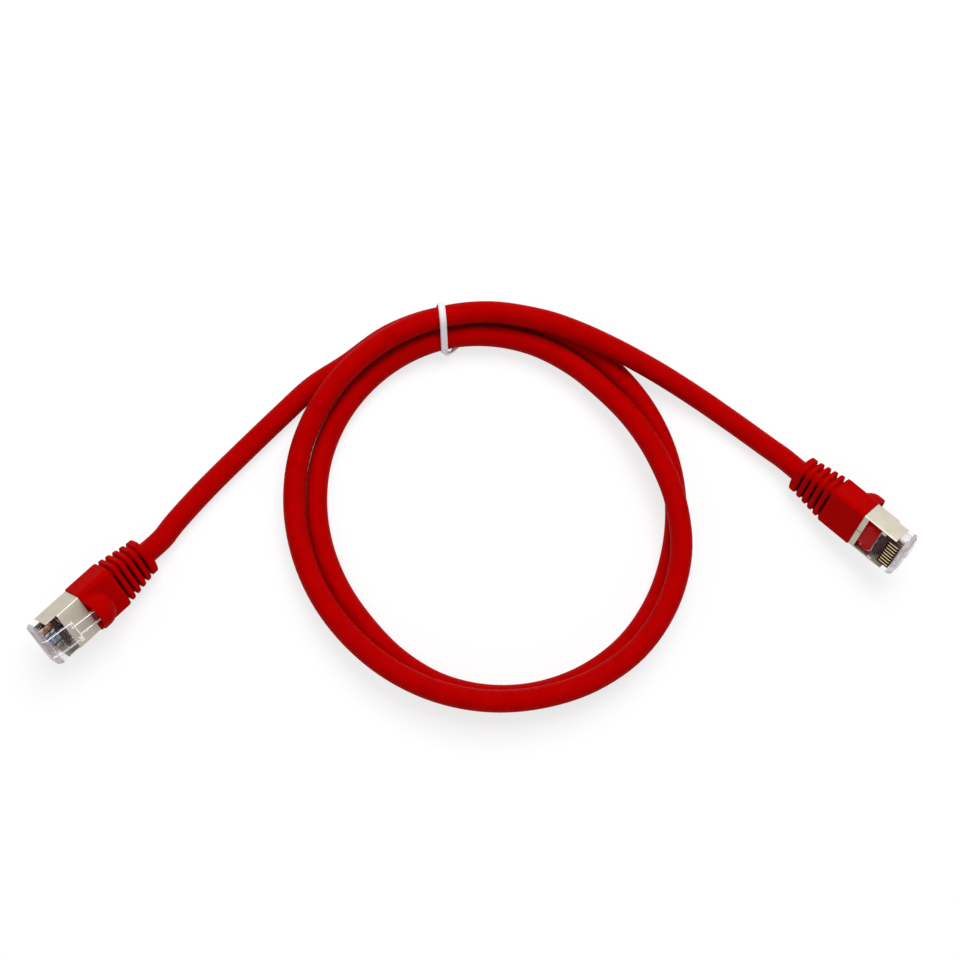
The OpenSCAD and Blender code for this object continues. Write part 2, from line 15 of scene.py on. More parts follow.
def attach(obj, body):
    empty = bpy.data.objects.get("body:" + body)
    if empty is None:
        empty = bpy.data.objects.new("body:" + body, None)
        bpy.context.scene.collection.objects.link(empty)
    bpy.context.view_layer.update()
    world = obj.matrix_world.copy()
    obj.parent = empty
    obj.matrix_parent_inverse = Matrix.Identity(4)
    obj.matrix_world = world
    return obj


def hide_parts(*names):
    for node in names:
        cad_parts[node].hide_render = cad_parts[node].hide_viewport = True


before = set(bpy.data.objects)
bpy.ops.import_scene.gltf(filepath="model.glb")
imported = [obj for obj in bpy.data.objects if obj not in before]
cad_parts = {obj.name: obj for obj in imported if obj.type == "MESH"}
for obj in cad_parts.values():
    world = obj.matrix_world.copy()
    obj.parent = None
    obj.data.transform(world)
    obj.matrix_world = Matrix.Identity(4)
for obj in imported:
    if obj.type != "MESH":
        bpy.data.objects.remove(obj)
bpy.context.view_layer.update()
MM = 0.001

# ---------------------------------------------------------------- camera, light and floor

TARGET = Vector((0.6, 21.4, 0.0)) * MM
CAMERA_LEAN = (-3, -9.5)
CAMERA_DISTANCE = 0.45
FRAME_PX = 960
PX_PER_M = 3750
SENSOR_MM = 36
NEAREST, FARTHEST = 0.01, 20
# Each light: its place, its width and its power in watts
LIGHTS = {"key": ((0.12, 0.5, 0.95), 0.7, 10),
          "fill": ((-0.6, -0.2, 0.95), 0.9, 2)}
WORLD_LIGHT = 0.42
FLOOR_COLOUR = (0.9, 0.9, 0.9, 1)
FLOOR_ROUGHNESS = 0.9
FLOOR_GLOW = 0.72
FLOOR_SIZE = 6
WHITE = (1, 1, 1, 1)


def add_camera():
    """The photograph's view: from almost straight above, leaning to the left and the plugs' side."""
    camera = bpy.data.cameras.new("camera")
    camera.sensor_width = SENSOR_MM
    camera.lens = SENSOR_MM * PX_PER_M * CAMERA_DISTANCE / FRAME_PX
    camera.clip_start = NEAREST
    camera.clip_end = FARTHEST
    o = bpy.data.objects.new("camera", camera)
    bpy.context.scene.collection.objects.link(o)
    away = Vector((*(math.tan(math.radians(a)) for a in CAMERA_LEAN), 1)).normalized()
    right = Vector((0, 1, 0)).cross(away).normalized()
    turn = Matrix((right, away.cross(right), away)).transposed().to_4x4()
    o.matrix_world = Matrix.Translation(TARGET + away * CAMERA_DISTANCE) @ turn
    bpy.context.scene.camera = o


def add_area_light(name, place, size, power):
    """A square soft light that faces the object."""
    light = bpy.data.lights.new(name, "AREA")
    light.shape = "SQUARE"
    light.size = size
    light.energy = power
    o = bpy.data.objects.new(name, light)
    bpy.context.scene.collection.objects.link(o)
    o.location = place
    o.rotation_euler = (TARGET - Vector(place)).to_track_quat("-Z", "Y").to_euler()


def background_rays(tree):
    """1 where the camera, a reflection or clear plastic looks at a surface, 0 for the light it gives."""
    path = tree.nodes.new("ShaderNodeLightPath")
    most = None
    for ray in ("Is Camera Ray", "Is Glossy Ray", "Is Transmission Ray"):
        if most is None:
            most = path.outputs[ray]
            continue
        node = tree.nodes.new("ShaderNodeMath")
        node.operation = "MAXIMUM"
        tree.links.new(most, node.inputs[0])
        tree.links.new(path.outputs[ray], node.inputs[1])
        most = node.outputs[0]
    return most


def add_world():
    """Soft grey light all round, seen as white."""
    world = bpy.data.worlds.new("studio")
    bpy.context.scene.world = world
    world.use_nodes = True
    tree = world.node_tree
    back = tree.nodes["Background"]
    seen = background_rays(tree)
    strength = tree.nodes.new("ShaderNodeMapRange")
    strength.inputs["To Min"].default_value = WORLD_LIGHT
    strength.inputs["To Max"].default_value = 1
    tree.links.new(seen, strength.inputs["Value"])
    tree.links.new(strength.outputs["Result"], back.inputs["Strength"])
    back.inputs["Color"].default_value = WHITE


def add_floor():
    """A pale floor, mostly white to the eye, which still takes the object's shadow."""
    material = bpy.data.materials.new("floor_paper")
    material.use_nodes = True
    tree = material.node_tree
    shader = tree.nodes["Principled BSDF"]
    shader.inputs["Base Color"].default_value = FLOOR_COLOUR
    shader.inputs["Roughness"].default_value = FLOOR_ROUGHNESS
    shader.inputs["Specular IOR Level"].default_value = 0
    glow = tree.nodes.new("ShaderNodeEmission")
    glow.inputs["Color"].default_value = WHITE
    mix = tree.nodes.new("ShaderNodeMixShader")
    share = tree.nodes.new("ShaderNodeMath")
    share.operation = "MULTIPLY"
    share.inputs[1].default_value = FLOOR_GLOW
    tree.links.new(background_rays(tree), share.inputs[0])
    tree.links.new(share.outputs[0], mix.inputs["Fac"])
    tree.links.new(shader.outputs[0], mix.inputs[1])
    tree.links.new(glow.outputs[0], mix.inputs[2])
    tree.links.new(mix.outputs[0], tree.nodes["Material Output"].inputs["Surface"])
    bpy.ops.mesh.primitive_plane_add(size=FLOOR_SIZE, location=(0, 0, 0))
    floor = bpy.context.object
    floor.name = "floor"
    floor.data.materials.append(material)


bpy.context.scene.view_settings.view_transform = "Standard"
add_camera()
add_world()
add_floor()
for light_name, (light_place, light_size, light_power) in LIGHTS.items():
    add_area_light(light_name, light_place, light_size, light_power)

# ---------------------------------------------------------------- sizes, in millimetres

# Each plug: the centre of its boot's tail, then yaw, nose-up pitch and roll in degrees. A plug's own
# frame has +X along it to the nose, +Y across it and +Z to the latch.
PLUG_A = (Vector((-86.3, 0.5, 5)) * MM, (226.5, 15, -41))
PLUG_B = (Vector((85.5, 23.6, 5.3)) * MM, (-44, 14.5, -119))
PLUGS = {"a": PLUG_A, "b": PLUG_B}
JACKET_D = 5.8 * MM
JACKET_R, JACKET_WALL = 2.9, 0.5

BOOT_L, BOOT_W, BOOT_H, BOOT_R = 21.75, 12.6, 8.0, 1.4
COLLAR_W, COLLAR_H, COLLAR_R, COLLAR_BEVEL, MOUTH_R = 9.9, 7.8, 2.6, 0.9, 3.4
BODY_X, COLLAR_X, RIB_PITCH, RIBS, GROOVE_W = 11.75, 2.05, 2.1, 4, 1.3
HOOD_R, HOOD_T, HOOD_RISE, HOOD_L = 4.6, 0.7, 5.3, 1.7

SHOULDER_X, NOSE_X, REAR_X, STEP_X = 22.0, 35.4, 13.9, 28.95
BODY_H, NOSE_TOP, HOUSING_W, NOSE_BEVEL, NOSE_FROM = 6.5, 2.7, 11.2, 0.9, 33.9
JACKET_END_X, PRESS_FROM, PRESS_TO = 27.5, 21.4, 23.6
PRESSED_W, PRESSED_H, PRESSED_R = 5.35, 2.95, 1.6
BLADE_X, BLADE_L, BLADE_T, BLADE_LOW, BLADE_R = 30.4, 3.4, 0.35, -3.05, 0.6
BAR_X, BAR_L, PITCH, COMB_TOP = 29.125, 1.2, 1.02, -1.0
CAVITY_W, CAVITY_LOW, CAVITY_HIGH, LEAD_IN_H = 8.26, -1.6, 1.0, 4.2
SHIELD_T, SHIELD_R, PLUG_W, STRIP_END = 0.2, 0.38, 11.6, 23.4
SHIELD_END, SHIELD_TOP_END, SHIELD_TAB_W = 32.2, 28.8, 1.2
HINGE, HINGE_ROOM = (35.1, 3.10), 0.65
LATCH_SLOPE, LATCH_W, SHOULDER_W, LATCH_EDGE = 10.4, 3.4, 6.0, 0.16
LATCH_L, LATCH_SHOULDER_L, LATCH_T, LATCH_UNDER, CATCH_H = 14.6, 8.3, 0.95, 0.35, 0.6
WIRE_R, WIRE_ROW_Z, WIRE_STAGGER = 0.4, -0.3, 0.5

# ---------------------------------------------------------------- the cable's route

TAIL_STOPS = (1.5, 0, -5.8)
LEG_A = [(-78.9, 9.4, 3.1), (-71.2, 18.3, 3), (-61.4, 28.5, 3), (-51.7, 38.3, 3), (-44, 45.7, 3)]
LEG_B = [(25.5, 60.2, 9.4), (36.2, 55.6, 8.5), (47.6, 50.1, 6.1), (58.9, 43.6, 3.9),
         (69.3, 36.6, 3), (77.7, 30.3, 3.5)]
LOOP_AT = (2.4, 14.3)
LOOP_START = -45
LOOP_STEP = 30
LOOP_RADII = [53, 52.1, 51.05, 49.9, 50, 50.5, 51.75, 51, 48.75, 45.25, 44.75, 45.5, 46, 45.9, 45,
              43.75, 46.25, 52, 54.25, 52.5, 51, 50, 50.25, 51, 50.75, 50.5, 50.75]
LOOP_HEIGHTS = [3.1, 4.2, 3, 3, 3, 3, 3, 3, 3, 3, 3, 3, 3.4, 5, 4.4, 5.6, 8.9, 9.4,
                9.4, 9.4, 9.2, 7.8, 6.2, 6.8, 9.4, 10.4, 9.5]
POINTS_PER_TURN = 24


def plug_matrix(plug):
    """From a plug's own frame in millimetres, nose along +X and latch up, to the object's in metres."""
    yaw, pitch, roll = (math.radians(a) for a in plug[1])
    turn = Matrix.Rotation(yaw, 4, "Z") @ Matrix.Rotation(-pitch, 4, "Y")
    turn = turn @ Matrix.Rotation(roll, 4, "X")
    return Matrix.Translation(plug[0]) @ turn @ Matrix.Scale(MM, 4)


def blend4(a, b, c, d, t):
    """A smooth curve's value between b and c, for numbers and points alike."""
    return b + (c - a + (a * 2 - b * 5 + c * 4 - d + ((b - c) * 3 + d - a) * t) * t) * (t / 2)


def station(values, s):
    """The value at place s, counted in values, on the smooth curve through them."""
    last = len(values) - 1
    i = min(int(s), last - 1)
    before, after = values[max(i - 1, 0)], values[min(i + 2, last)]
    return blend4(before, values[i], values[i + 1], after, s - i)


def loop_point(angle):
    """The loop's centreline at an angle in degrees, which goes on rising from turn to turn."""
    s = (angle - LOOP_START) / LOOP_STEP
    r = station(LOOP_RADII, s)
    a = math.radians(angle)
    x, y = LOOP_AT[0] + r * math.sin(a), LOOP_AT[1] + r * math.cos(a)
    return Vector((x, y, station(LOOP_HEIGHTS, s))) * MM


def cable_points():
    """The cable's centreline from just inside one boot to just inside the other."""
    turn_step = 360 / POINTS_PER_TURN
    count = round(LOOP_STEP * (len(LOOP_RADII) - 1) / turn_step)
    points = [plug_matrix(PLUG_A) @ Vector((x, 0, 0)) for x in TAIL_STOPS]
    points += [Vector(p) * MM for p in LEG_A]
    points += [loop_point(LOOP_START + i * turn_step) for i in range(count + 1)]
    points += [Vector(p) * MM for p in LEG_B]
    points += [plug_matrix(PLUG_B) @ Vector((x, 0, 0)) for x in reversed(TAIL_STOPS)]
    return points


def smooth(points, steps):
    """The same route with more points, on a smooth curve through the given ones."""
    last = len(points) - 1
    fine = [station(points, i + k / steps) for i in range(last) for k in range(steps)]
    return fine + [points[last]]


# ---------------------------------------------------------------- meshes

SLOTS = 4
SLIVER = 0.004


def mesh_of(vertices, faces):
    """A mesh with a few empty material slots, so that each step can mark the faces that it makes."""
    mesh = bpy.data.meshes.new("shape")
    mesh.from_pydata([tuple(v) for v in vertices], [], faces)
    mesh.validate()
    mesh.update()
    for _ in range(SLOTS):
        mesh.materials.append(None)
    return mesh


def add_piece(name, mesh, material, body="cable", sharp=None):
    """A piece from a mesh in the object's own frame, riding on a body."""
    mesh.name = name
    mesh.shade_smooth()
    if sharp is not None:
        mesh.set_sharp_from_angle(angle=math.radians(sharp))
    marks = [0] * len(mesh.polygons)
    mesh.polygons.foreach_get("material_index", marks)
    mesh.materials.clear()
    for part in material if isinstance(material, tuple) else (material,):
        mesh.materials.append(part)
    last = len(mesh.materials) - 1
    mesh.polygons.foreach_set("material_index", [min(k, last) for k in marks])
    o = bpy.data.objects.new(name, mesh)
    bpy.context.scene.collection.objects.link(o)
    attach(o, body)
    return o


def on_plug(mesh, plug):
    """A copy of a mesh drawn in a plug's frame, put where that plug is."""
    placed = mesh.copy()
    placed.transform(plug_matrix(plug))
    placed.update()
    return placed


def joined(*meshes):
    """Several meshes as one."""
    whole = bmesh.new()
    for mesh in meshes:
        whole.from_mesh(mesh)
    out = bpy.data.meshes.new("joined")
    whole.to_mesh(out)
    whole.free()
    return out


def shaped(mesh, *steps):
    """The mesh after modifiers: each step is a modifier's type and its settings."""
    o = bpy.data.objects.new("shaping", mesh)
    bpy.context.scene.collection.objects.link(o)
    helpers = []
    for kind, settings in steps:
        modifier = o.modifiers.new(kind, kind)
        for key, value in settings.items():
            if isinstance(value, bpy.types.Mesh):
                value = bpy.data.objects.new("helper", value)
                bpy.context.scene.collection.objects.link(value)
                helpers.append(value)
            setattr(modifier, key, value)
    done = bpy.data.meshes.new_from_object(o.evaluated_get(bpy.context.evaluated_depsgraph_get()))
    for spare in (o, *helpers):
        bpy.data.objects.remove(spare)
    return done


def marked(mesh, index):
    """The mesh with every face in one material slot."""
    mesh.polygons.foreach_set("material_index", [index] * len(mesh.polygons))
    return mesh


def clean(whole):
    """Close slivers up, and drop the flaps of two faces on the same corners that this can leave."""
    bmesh.ops.remove_doubles(whole, verts=whole.verts, dist=SLIVER)
    bmesh.ops.dissolve_degenerate(whole, dist=SLIVER, edges=whole.edges)
    seen = {}
    for face in whole.faces:
        seen.setdefault(frozenset(face.verts), []).append(face)
    flaps = [face for same in seen.values() if len(same) > 1 for face in same]
    bmesh.ops.delete(whole, geom=flaps, context="FACES")


def combined(mesh, operation, others):
    """A Boolean with each of the other meshes in turn, without the slivers that it can leave."""
    settings = {"operation": operation, "solver": "EXACT"}
    out = shaped(mesh, *(("BOOLEAN", {**settings, "object": other}) for other in others))
    whole = bmesh.new()
    whole.from_mesh(out)
    clean(whole)
    whole.to_mesh(out)
    whole.free()
    return out


def cut(mesh, *cutters):
    return combined(mesh, "DIFFERENCE", cutters)


def united(mesh, *others):
    return combined(mesh, "UNION", others)


def bevel(width, segments, angle=30, material=-1):
    """The settings of a bevel on edges sharper than an angle."""
    return ("BEVEL", {"width": width, "segments": segments, "limit_method": "ANGLE",
                      "angle_limit": math.radians(angle), "use_clamp_overlap": True,
                      "material": material})


def bevelled(mesh, width, segments, material=-1):
    return shaped(mesh, bevel(width, segments, material=material))


def prism(outline, low, high, axis="y"):
    """A solid: an outline in x and z drawn across the plug, or one in y and z drawn along it."""
    n = len(outline)
    if axis == "y":
        rings = [[(x, w, z) for x, z in outline] for w in (low, high)]
    else:
        rings = [[(w, y, z) for y, z in outline] for w in (low, high)]
    area = sum(a[0] * b[1] - b[0] * a[1] for a, b in zip(outline, outline[1:] + outline[:1]))
    faces = [tuple(range(n)), tuple(reversed(range(n, 2 * n)))]
    faces += [(k, k + n, (k + 1) % n + n, (k + 1) % n) for k in range(n)]
    if (area > 0) == (axis != "y"):
        faces = [tuple(reversed(f)) for f in faces]
    return mesh_of(rings[0] + rings[1], faces)


def block(x0, x1, y0, y1, z0, z1):
    return prism([(x0, z0), (x1, z0), (x1, z1), (x0, z1)], y0, y1)


def circle(r, sides, middle=(0, 0)):
    """Points round a circle."""
    turns = (2 * math.pi * k / sides for k in range(sides))
    return [(middle[0] + r * math.cos(a), middle[1] + r * math.sin(a)) for a in turns]


def round_bar(x0, x1, r, sides, middle=(0, 0)):
    """A round bar along the plug."""
    return prism(circle(r, sides, middle), x0, x1, "x")


def skin(rings, closed_ends=True):
    """A surface over ring after ring of points, all of one count, with its faces outward."""
    n = len(rings[0])
    vertices = [p for ring in rings for p in ring]
    faces = []
    for i in range(len(rings) - 1):
        for k in range(n):
            a, b = i * n + k, i * n + (k + 1) % n
            faces.append((a, a + n, b + n, b))
    if closed_ends:
        end = (len(rings) - 1) * n
        faces.append(tuple(range(n)))
        faces.append(tuple(reversed(range(end, end + n))))
    mesh = mesh_of(vertices, faces)
    whole = bmesh.new()
    whole.from_mesh(mesh)
    if whole.calc_volume(signed=True) < 0:
        mesh.flip_normals()
    whole.free()
    return mesh


def frames_along(points):
    """A sideways and an upward direction at each point, carried along without twist."""
    last = len(points) - 1
    side = None
    frames = []
    for i in range(last + 1):
        ahead = (points[min(i + 1, last)] - points[max(i - 1, 0)]).normalized()
        if side is None:
            side = ahead.cross(Vector((0, 0, 1))).normalized()
        side = (side - ahead * side.dot(ahead)).normalized()
        frames.append((side, side.cross(ahead)))
    return frames


def tube_mesh(points, radius, sides):
    """A round tube along the points."""
    section = circle(radius, sides)
    frames = frames_along(points)
    return skin([[p + side * a + up * b for a, b in section]
                 for p, (side, up) in zip(points, frames)])


# ---------------------------------------------------------------- materials

def principled(name, colour, roughness, **values):
    """A material with the sockets of its shader set to plain values."""
    material = bpy.data.materials.new(name)
    material.use_nodes = True
    shader = material.node_tree.nodes["Principled BSDF"]
    shader.inputs["Base Color"].default_value = (*colour, 1)
    shader.inputs["Roughness"].default_value = roughness
    for key, value in values.items():
        shader.inputs[key.replace("_", " ")].default_value = value
    return material


def noise(tree, scale, detail, roughness=0.5, stretch=None):
    """A noise texture in the object's own coordinates; scale is in cells per metre."""
    place = tree.nodes.new("ShaderNodeTexCoord")
    node = tree.nodes.new("ShaderNodeTexNoise")
    node.inputs["Scale"].default_value = scale
    node.inputs["Detail"].default_value = detail
    node.inputs["Roughness"].default_value = roughness
    source = place.outputs["Object"]
    if stretch is not None:
        mapping = tree.nodes.new("ShaderNodeMapping")
        mapping.inputs["Scale"].default_value = stretch
        tree.links.new(source, mapping.inputs["Vector"])
        source = mapping.outputs["Vector"]
    tree.links.new(source, node.inputs["Vector"])
    return node.outputs["Fac"]


def remapped(tree, value, low, high, from_low=0.3, from_high=0.7):
    """A value brought from one range, by default where noise mostly lies, to another."""
    node = tree.nodes.new("ShaderNodeMapRange")
    node.inputs["From Min"].default_value = from_low
    node.inputs["From Max"].default_value = from_high
    node.inputs["To Min"].default_value = low
    node.inputs["To Max"].default_value = high
    tree.links.new(value, node.inputs["Value"])
    return node.outputs["Result"]


def mottled(material, colour_a, colour_b, value):
    """Varies the base colour between two close colours."""
    tree = material.node_tree
    mix = tree.nodes.new("ShaderNodeMix")
    mix.data_type = "RGBA"
    mix.inputs["A"].default_value = (*colour_a, 1)
    mix.inputs["B"].default_value = (*colour_b, 1)
    tree.links.new(value, mix.inputs["Factor"])
    tree.links.new(mix.outputs["Result"], tree.nodes["Principled BSDF"].inputs["Base Color"])


def bumped(material, value, distance, strength=1.0):
    """Raises the surface by up to a distance in metres."""
    tree = material.node_tree
    bump = tree.nodes.new("ShaderNodeBump")
    bump.inputs["Distance"].default_value = distance
    bump.inputs["Strength"].default_value = strength
    tree.links.new(value, bump.inputs["Height"])
    tree.links.new(bump.outputs["Normal"], tree.nodes["Principled BSDF"].inputs["Normal"])


def roughened(material, value, low, high):
    """Varies the roughness between two values."""
    tree = material.node_tree
    varied = remapped(tree, value, low, high)
    tree.links.new(varied, tree.nodes["Principled BSDF"].inputs["Roughness"])


def darkened(material, attribute, deep):
    """Paints shade into the base colour: darkens it where a number kept on the mesh rises to 1."""
    tree = material.node_tree
    base = tree.nodes["Principled BSDF"].inputs["Base Color"]
    source = base.links[0].from_socket
    value = tree.nodes.new("ShaderNodeAttribute")
    value.attribute_name = attribute
    mix = tree.nodes.new("ShaderNodeMix")
    mix.data_type = "RGBA"
    mix.inputs["B"].default_value = (*deep, 1)
    tree.links.new(value.outputs["Fac"], mix.inputs["Factor"])
    tree.links.new(source, mix.inputs["A"])
    tree.links.new(mix.outputs["Result"], base)


RED = (0.385, 0.0003, 0.0003)
DEEP_RED = (0.34, 0.0, 0.0)
# Painted shade: the boot's slots are drawn darker, towards this near-black red
PAINTED_SHADE_RED = (0.02, 0, 0)
RED_SHEEN = {"Specular_IOR_Level": 0.03, "Specular_Tint": (1, 0.1, 0.1, 1), "IOR": 1.4}
RED_PATCHES = 220


def red_plastic(name, roughness, grain, pits):
    """Soft red PVC: a fine matt grain, broad faint unevenness and a slightly mottled colour."""
    material = principled(name, RED, roughness, **RED_SHEEN)
    tree = material.node_tree
    patches = noise(tree, RED_PATCHES, 2)
    fine = noise(tree, grain, 4, 0.6)
    mottled(material, RED, DEEP_RED, remapped(tree, patches, 0, 1))
    roughened(material, fine, roughness - 0.08, roughness + 0.12)
    bumped(material, fine, pits)
    return material


jacket_red = red_plastic("jacket_red", roughness=0.5, grain=5200, pits=0.03 * MM)
boot_red = red_plastic("boot_red", roughness=0.55, grain=3600, pits=0.04 * MM)
# Painted shade in the boot's slots, by the crease number kept on the mesh
darkened(boot_red, "crease", PAINTED_SHADE_RED)

NICKEL = (0.56, 0.52, 0.43)
DULL_NICKEL = (0.49, 0.45, 0.37)
DRAWN_LINES, DULL_PATCHES = 900, 320


def brushed_metal(name, colour, dull, roughness, stretch):
    """Thin nickel-plated sheet with faint drawn lines and dull patches."""
    material = principled(name, colour, roughness, Metallic=0.6)
    tree = material.node_tree
    lines = noise(tree, DRAWN_LINES, 4, 0.6, stretch)
    patches = noise(tree, DULL_PATCHES, 3)
    mottled(material, colour, dull, remapped(tree, patches, 0, 1))
    roughened(material, lines, roughness - 0.08, roughness + 0.14)
    bumped(material, lines, 0.01 * MM, 0.5)
    return material


metal = brushed_metal("shield_metal", NICKEL, DULL_NICKEL, 0.5, stretch=(1, 1, 6))

FLOW_LINES = 500
FLOW_STRETCH = (1, 1, 0.4)
RIM_LIGHT = (1, 0.97, 0.99, 1)


def clear_plastic(name, colour, roughness, alpha, through, glow=0.0):
    """Moulded polycarbonate with slight flow lines; through is its share of clear plastic, and glow a
    painted highlight given off as faint light.
    """
    material = principled(name, colour, roughness, Transmission_Weight=through, IOR=1.35,
                          Alpha=alpha, Specular_IOR_Level=0.4)
    tree = material.node_tree
    flow = noise(tree, FLOW_LINES, 2, stretch=FLOW_STRETCH)
    roughened(material, flow, roughness * 0.6, roughness * 1.6)
    bumped(material, flow, 0.02 * MM, 0.6)
    if glow:
        shader = tree.nodes["Principled BSDF"]
        shader.inputs["Emission Color"].default_value = RIM_LIGHT
        shader.inputs["Emission Strength"].default_value = glow
    return material


clear = clear_plastic("clear_plastic", (0.8, 0.74, 0.75), 0.08, alpha=0.06, through=1)
clear_nose = clear_plastic("clear_nose", (0.48, 0.39, 0.41), 0.1, alpha=0.6, through=0.5)
clear_latch = clear_plastic("clear_latch", (0.85, 0.8, 0.82), 0.05, alpha=0.4, through=1)
# Painted highlight: the moulded edges are drawn paler and more opaque and glow a little, as the light
# that they catch, which so thin a rim can't do by itself
clear_edge = clear_plastic("clear_edge", (0.66, 0.55, 0.58), 0.3, alpha=0.8, through=0.1, glow=0.01)
latch_edge = clear_plastic("latch_edge", (0.95, 0.92, 0.95), 0.3, alpha=0.78, through=0, glow=0.12)
slot_shade = clear_plastic("slot_shade", (0.03, 0.02, 0.018), 0.5, alpha=0.95, through=0)
# Painted shade: the load bar is drawn near-black red, darkening the view into the plug's inside
painted_shade_bar = clear_plastic("load_bar_painted_shade", (0.06, 0.012, 0.012), 0.4, alpha=0.9, through=0.1)

WEAR_CELLS = 1800
COATING_CELLS = 1500


def plated(name, colour, worn, roughness):
    """Plated metal, a little worn."""
    material = principled(name, colour, roughness, Metallic=1.0)
    tree = material.node_tree
    wear = noise(tree, WEAR_CELLS, 3)
    mottled(material, colour, worn, remapped(tree, wear, 0, 1))
    roughened(material, wear, roughness - 0.06, roughness + 0.12)
    return material


def coating(name, colour, deep, roughness):
    """A thin coloured plastic coating with a slight mottle and bump."""
    material = principled(name, colour, roughness, Specular_IOR_Level=0.35)
    tree = material.node_tree
    spots = noise(tree, COATING_CELLS, 3)
    mottled(material, colour, deep, remapped(tree, spots, 0, 1))
    roughened(material, spots, roughness - 0.05, roughness + 0.15)
    bumped(material, spots, 0.02 * MM)
    return material


gold = plated("gold", (0.9, 0.72, 0.42), (0.74, 0.55, 0.28), 0.3)
# Painted shade: the blades' sides, deep in their slots, are drawn in a dark gold
gold_painted_shade = plated("gold_painted_shade", (0.05, 0.03, 0.015), (0.03, 0.018, 0.01), 0.5)
foil = plated("foil", (0.34, 0.31, 0.3), (0.22, 0.2, 0.2), 0.35)
white_coat = coating("white_coating", (0.8, 0.77, 0.81), (0.71, 0.69, 0.73), 0.45)

WIRES = ["white_orange", "orange", "white_green", "blue", "white_blue", "green", "white_brown", "brown"]
WIRE_COLOURS = {"orange": (0.5, 0.12, 0.01), "blue": (0.02, 0.07, 0.3), "green": (0.01, 0.15, 0.05),
                "brown": (0.1, 0.04, 0.02)}
# Painted shade: the white insulation is drawn grey, as it lies in the plug's shade
WIRE_WHITE_SHADED = (0.45, 0.45, 0.48)
WIRE_ROUGHNESS = 0.35
STRIPES = 260
STRIPE_FROM, STRIPE_TO = 0.62, 0.72


def wire_material(wire):
    """Insulation: plain, or white with a stripe of its pair's colour."""
    name = "insulation_" + wire
    colour = WIRE_COLOURS[wire.removeprefix("white_")]
    if not wire.startswith("white_"):
        return coating(name, colour, tuple(c * 0.8 for c in colour), WIRE_ROUGHNESS)
    material = principled(name, WIRE_WHITE_SHADED, WIRE_ROUGHNESS, Specular_IOR_Level=0.35)
    tree = material.node_tree
    place = tree.nodes.new("ShaderNodeTexCoord")
    wave = tree.nodes.new("ShaderNodeTexWave")
    wave.inputs["Scale"].default_value = STRIPES
    wave.inputs["Distortion"].default_value = 0.6
    tree.links.new(place.outputs["Object"], wave.inputs["Vector"])
    stripe = remapped(tree, wave.outputs["Fac"], 0, 1, STRIPE_FROM, STRIPE_TO)
    mottled(material, WIRE_WHITE_SHADED, colour, stripe)
    return material


# ---------------------------------------------------------------- the cable

ROUTE_STEPS = 6
CABLE_SIDES = 32

route = smooth(cable_points(), ROUTE_STEPS)
cable = add_piece("cable", tube_mesh(route, JACKET_D / 2, CABLE_SIDES), jacket_red)
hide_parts("jacket_leg_a", "jacket_coil", "jacket_leg_b", "foil_screen", "drain_wire",
            "pair_brown", "pair_blue", "pair_orange", "pair_green")


# ---------------------------------------------------------------- the boot

def rounded_reach(c, s, a, b, r):
    """How far a rounded rectangle's outline lies from its middle, in the direction (c, s)."""
    c, s = np.maximum(np.abs(c), 1e-9), np.maximum(np.abs(s), 1e-9)
    qa, qb = a - r, b - r
    p = c * qa + s * qb
    corner = p + np.sqrt(np.maximum(p * p - (qa * qa + qb * qb - r * r), 0))
    side = a / c
    flat = b / s
    return np.where(side * s <= qb, side, np.where(flat * c <= qa, flat, corner))


def soft_most(a, b, k):
    """The larger of two values, rounded over where they meet."""
    h = np.maximum(k - np.abs(a - b), 0) / k
    return np.maximum(a, b) + h * h * k / 4


BOOT_SIDES = 192
GROOVES = [COLLAR_X + GROOVE_W / 2 + i * RIB_PITCH for i in range(RIBS + 1)]
CORE_W, CORE_H, CORE_R = 8.4, 6.2, 2.2
SLOT_HALF, VEE_HALF = 0.36, 0.66
SLOT_DEEP, VEE_DEEP, CROWN = 0.8, 1.5, 0.3
RIDGE_TURN, RIDGE_FADE = 0.6, 0.26
TAPER_SPARE = 0.4
HOOD_BLEND, HOOD_LEAST = 1.5, 0.2
RIM = 0.3
# Where the boot's outlines lie along it: from, to and step
COLLAR_STOPS, RIB_STOPS = (0, 1.8, 0.15), (1.8, 12.2, 0.065)
NECK_STOPS, HOOD_STOPS = (12.2, 15, 0.4), (15, BOOT_L - RIM, 0.2)
RIM_STEPS = 6
HOOD_RINGS, HOOD_SIDES, BORE_SIDES = 32, 64, 48
BORE_GAP, BORE_END = 0.08, 12
POCKET_X, POCKET_W, POCKET_H = REAR_X - 0.3, 10.2, 6.1
# Painted shade in the boot's slots: its most, the depth over which it rises, how far past the body it
# goes and the least radius that takes it
PAINTED_SHADE_MOST, PAINTED_SHADE_FADE, PAINTED_SHADE_PAST, PAINTED_SHADE_LEAST_R = 0.95, 0.4, 0.3, 3.03


def smoothstep(t):
    return t * t * (3 - 2 * t)


def tip_reach(x, c, s):
    """How far the boot's outline lies from its middle, without its grooves and hood."""
    t = np.clip((BODY_X + TAPER_SPARE - x) / (BODY_X - COLLAR_X + 2 * TAPER_SPARE), 0, 1)
    half_w = (BOOT_W + (COLLAR_W - BOOT_W) * t) / 2
    half_h = (BOOT_H + (COLLAR_H - BOOT_H) * t) / 2
    return rounded_reach(c, s, half_w, half_h, BOOT_R + (COLLAR_R - BOOT_R) * t)


def facing_latch(c, s):
    """1 on the boot's two broad faces, 0 on its sides, fading in past the ridge between them."""
    return smoothstep(np.clip((np.arctan2(np.abs(s), np.abs(c)) - RIDGE_TURN) / RIDGE_FADE, 0, 1))


